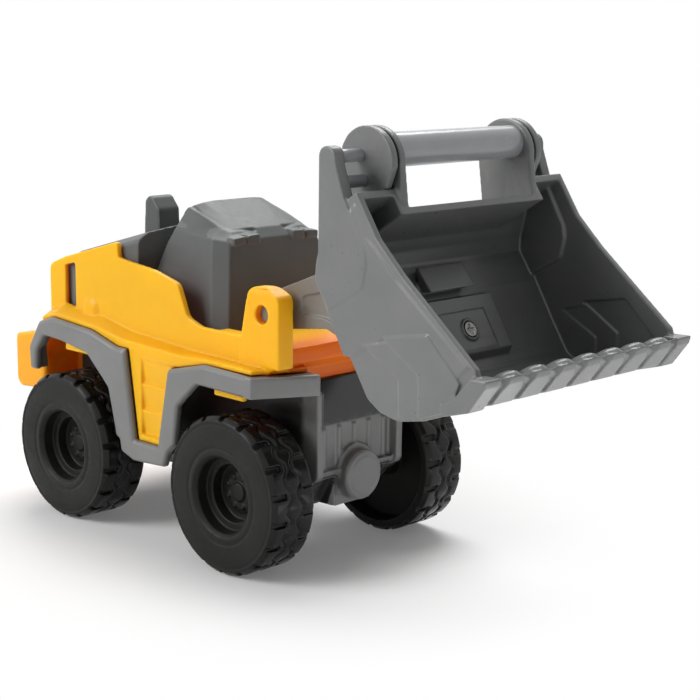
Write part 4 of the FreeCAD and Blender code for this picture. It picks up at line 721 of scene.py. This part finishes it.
def build_stage():
    """A round sheet of white paper that melts into the white background at its rim."""
    rings, spokes, reach = 12, 64, 1.6
    verts = [(0.0, 0.0, 0.0)]
    for ring in range(1, rings + 1):
        radius = reach * ring / rings
        for spoke in range(spokes):
            turn = math.tau * spoke / spokes
            verts.append((radius * math.cos(turn), radius * math.sin(turn), 0.0))
    mesh = bpy.data.meshes.new("floor")
    mesh.from_pydata(verts, [], ringed_faces(rings, spokes))
    floor = bpy.data.objects.new("floor", mesh)
    bpy.context.scene.collection.objects.link(floor)
    sh = Shader("floor_paper")
    coords = sh.add("ShaderNodeTexCoord")
    sh.link(sh.mixed(sh.noise(coords, 30.0, 2.0), *PAPER_TONES), sh.bsdf.inputs["Base Color"])
    sh.bsdf.inputs["Roughness"].default_value = 0.9
    sh.bsdf.inputs["Specular IOR Level"].default_value = 0.0
    # Away from the wheels, the camera and reflections see plain white; light meets the paper.
    centre = sh.add("ShaderNodeMapping", Location=FLOOR_SHIFT, Scale=FLOOR_STRETCH)
    sh.link(coords.outputs["Object"], centre.inputs["Vector"])
    distance = sh.add("ShaderNodeVectorMath", operation="LENGTH")
    sh.link(centre.outputs["Vector"], distance.inputs[0])
    fade = sh.add("ShaderNodeMapRange", interpolation_type="SMOOTHSTEP", **FLOOR_FADE)
    sh.link(distance.outputs["Value"], fade.inputs["Value"])
    both = sh.add("ShaderNodeMath", operation="MULTIPLY")
    sh.link(fade.outputs["Result"], both.inputs[0])
    sh.link(seen_rays(sh.tree), both.inputs[1])
    white = sh.add("ShaderNodeEmission", Color=WHITE, Strength=1.0)
    blend = sh.add("ShaderNodeMixShader")
    sh.link(both.outputs["Value"], blend.inputs[0])
    sh.link(sh.bsdf.outputs["BSDF"], blend.inputs[1])
    sh.link(white.outputs["Emission"], blend.inputs[2])
    sh.link(blend.outputs["Shader"], sh.tree.nodes["Material Output"].inputs["Surface"])
    mesh.materials.append(sh.material)


def area_light(name, place, aim, size, power):
    """A square soft box at place, turned toward aim; its power is in watts."""
    lamp = bpy.data.lights.new(name, "AREA")
    lamp.shape = "SQUARE"
    lamp.size = size
    lamp.energy = power
    holder = bpy.data.objects.new(name, lamp)
    holder.location = place
    holder.rotation_euler = (Vector(aim) - Vector(place)).to_track_quat("-Z", "Y").to_euler()
    bpy.context.scene.collection.objects.link(holder)


FILL_STRENGTH, BACKGROUND_STRENGTH = 0.20, 1.0


def build_world():
    """A soft fill for the object, and plain white where the background is seen."""
    world = bpy.data.worlds.new("studio")
    bpy.context.scene.world = world
    world.use_nodes = True
    tree = world.node_tree
    tree.nodes.clear()
    out = tree.nodes.new("ShaderNodeOutputWorld")
    mix = tree.nodes.new("ShaderNodeMixShader")
    tree.links.new(seen_rays(tree), mix.inputs["Fac"])
    for socket, strength in ((1, FILL_STRENGTH), (2, BACKGROUND_STRENGTH)):
        glow = tree.nodes.new("ShaderNodeBackground")
        glow.inputs["Color"].default_value = WHITE
        glow.inputs["Strength"].default_value = strength
        tree.links.new(glow.outputs["Background"], mix.inputs[socket])
    tree.links.new(mix.outputs["Shader"], out.inputs["Surface"])


CAMERA_PLACE = (0.41396, -0.39535, 0.18742)
AZIMUTH, ELEVATION, ROLL = math.radians(44.55), math.radians(11.45), math.radians(0.73)
LENS, SENSOR = 83.11, 36.0


def build_camera():
    """A long lens low at the front right corner, rolled slightly as the view is."""
    back = Vector((math.sin(AZIMUTH) * math.cos(ELEVATION),
                   -math.cos(AZIMUTH) * math.cos(ELEVATION), math.sin(ELEVATION)))
    right = Vector((math.cos(AZIMUTH), math.sin(AZIMUTH), 0))
    up = back.cross(right)
    across = right * math.cos(ROLL) + up * math.sin(ROLL)
    along = up * math.cos(ROLL) - right * math.sin(ROLL)
    camera = bpy.data.cameras.new("camera")
    camera.sensor_width = SENSOR
    camera.lens = LENS
    camera.clip_start, camera.clip_end = 0.02, 20.0
    holder = bpy.data.objects.new("camera", camera)
    turn = Matrix((across, along, back)).transposed().to_4x4()
    holder.matrix_world = Matrix.Translation(CAMERA_PLACE) @ turn
    bpy.context.scene.collection.objects.link(holder)
    bpy.context.scene.camera = holder


build_stage()
build_world()
area_light("key", (-0.55, -1.1, 0.75), (0, 0, 0.06), 0.7, 13.0)
area_light("top", (-0.42, 0.48, 1.12), (0, 0, 0.05), 0.9, 15.0)
area_light("bounce", (0.20, -0.02, 0.004), (0.19, -0.02, 0.2), 0.16, 0.12)
build_camera()
bpy.context.scene.view_settings.view_transform = "Standard"
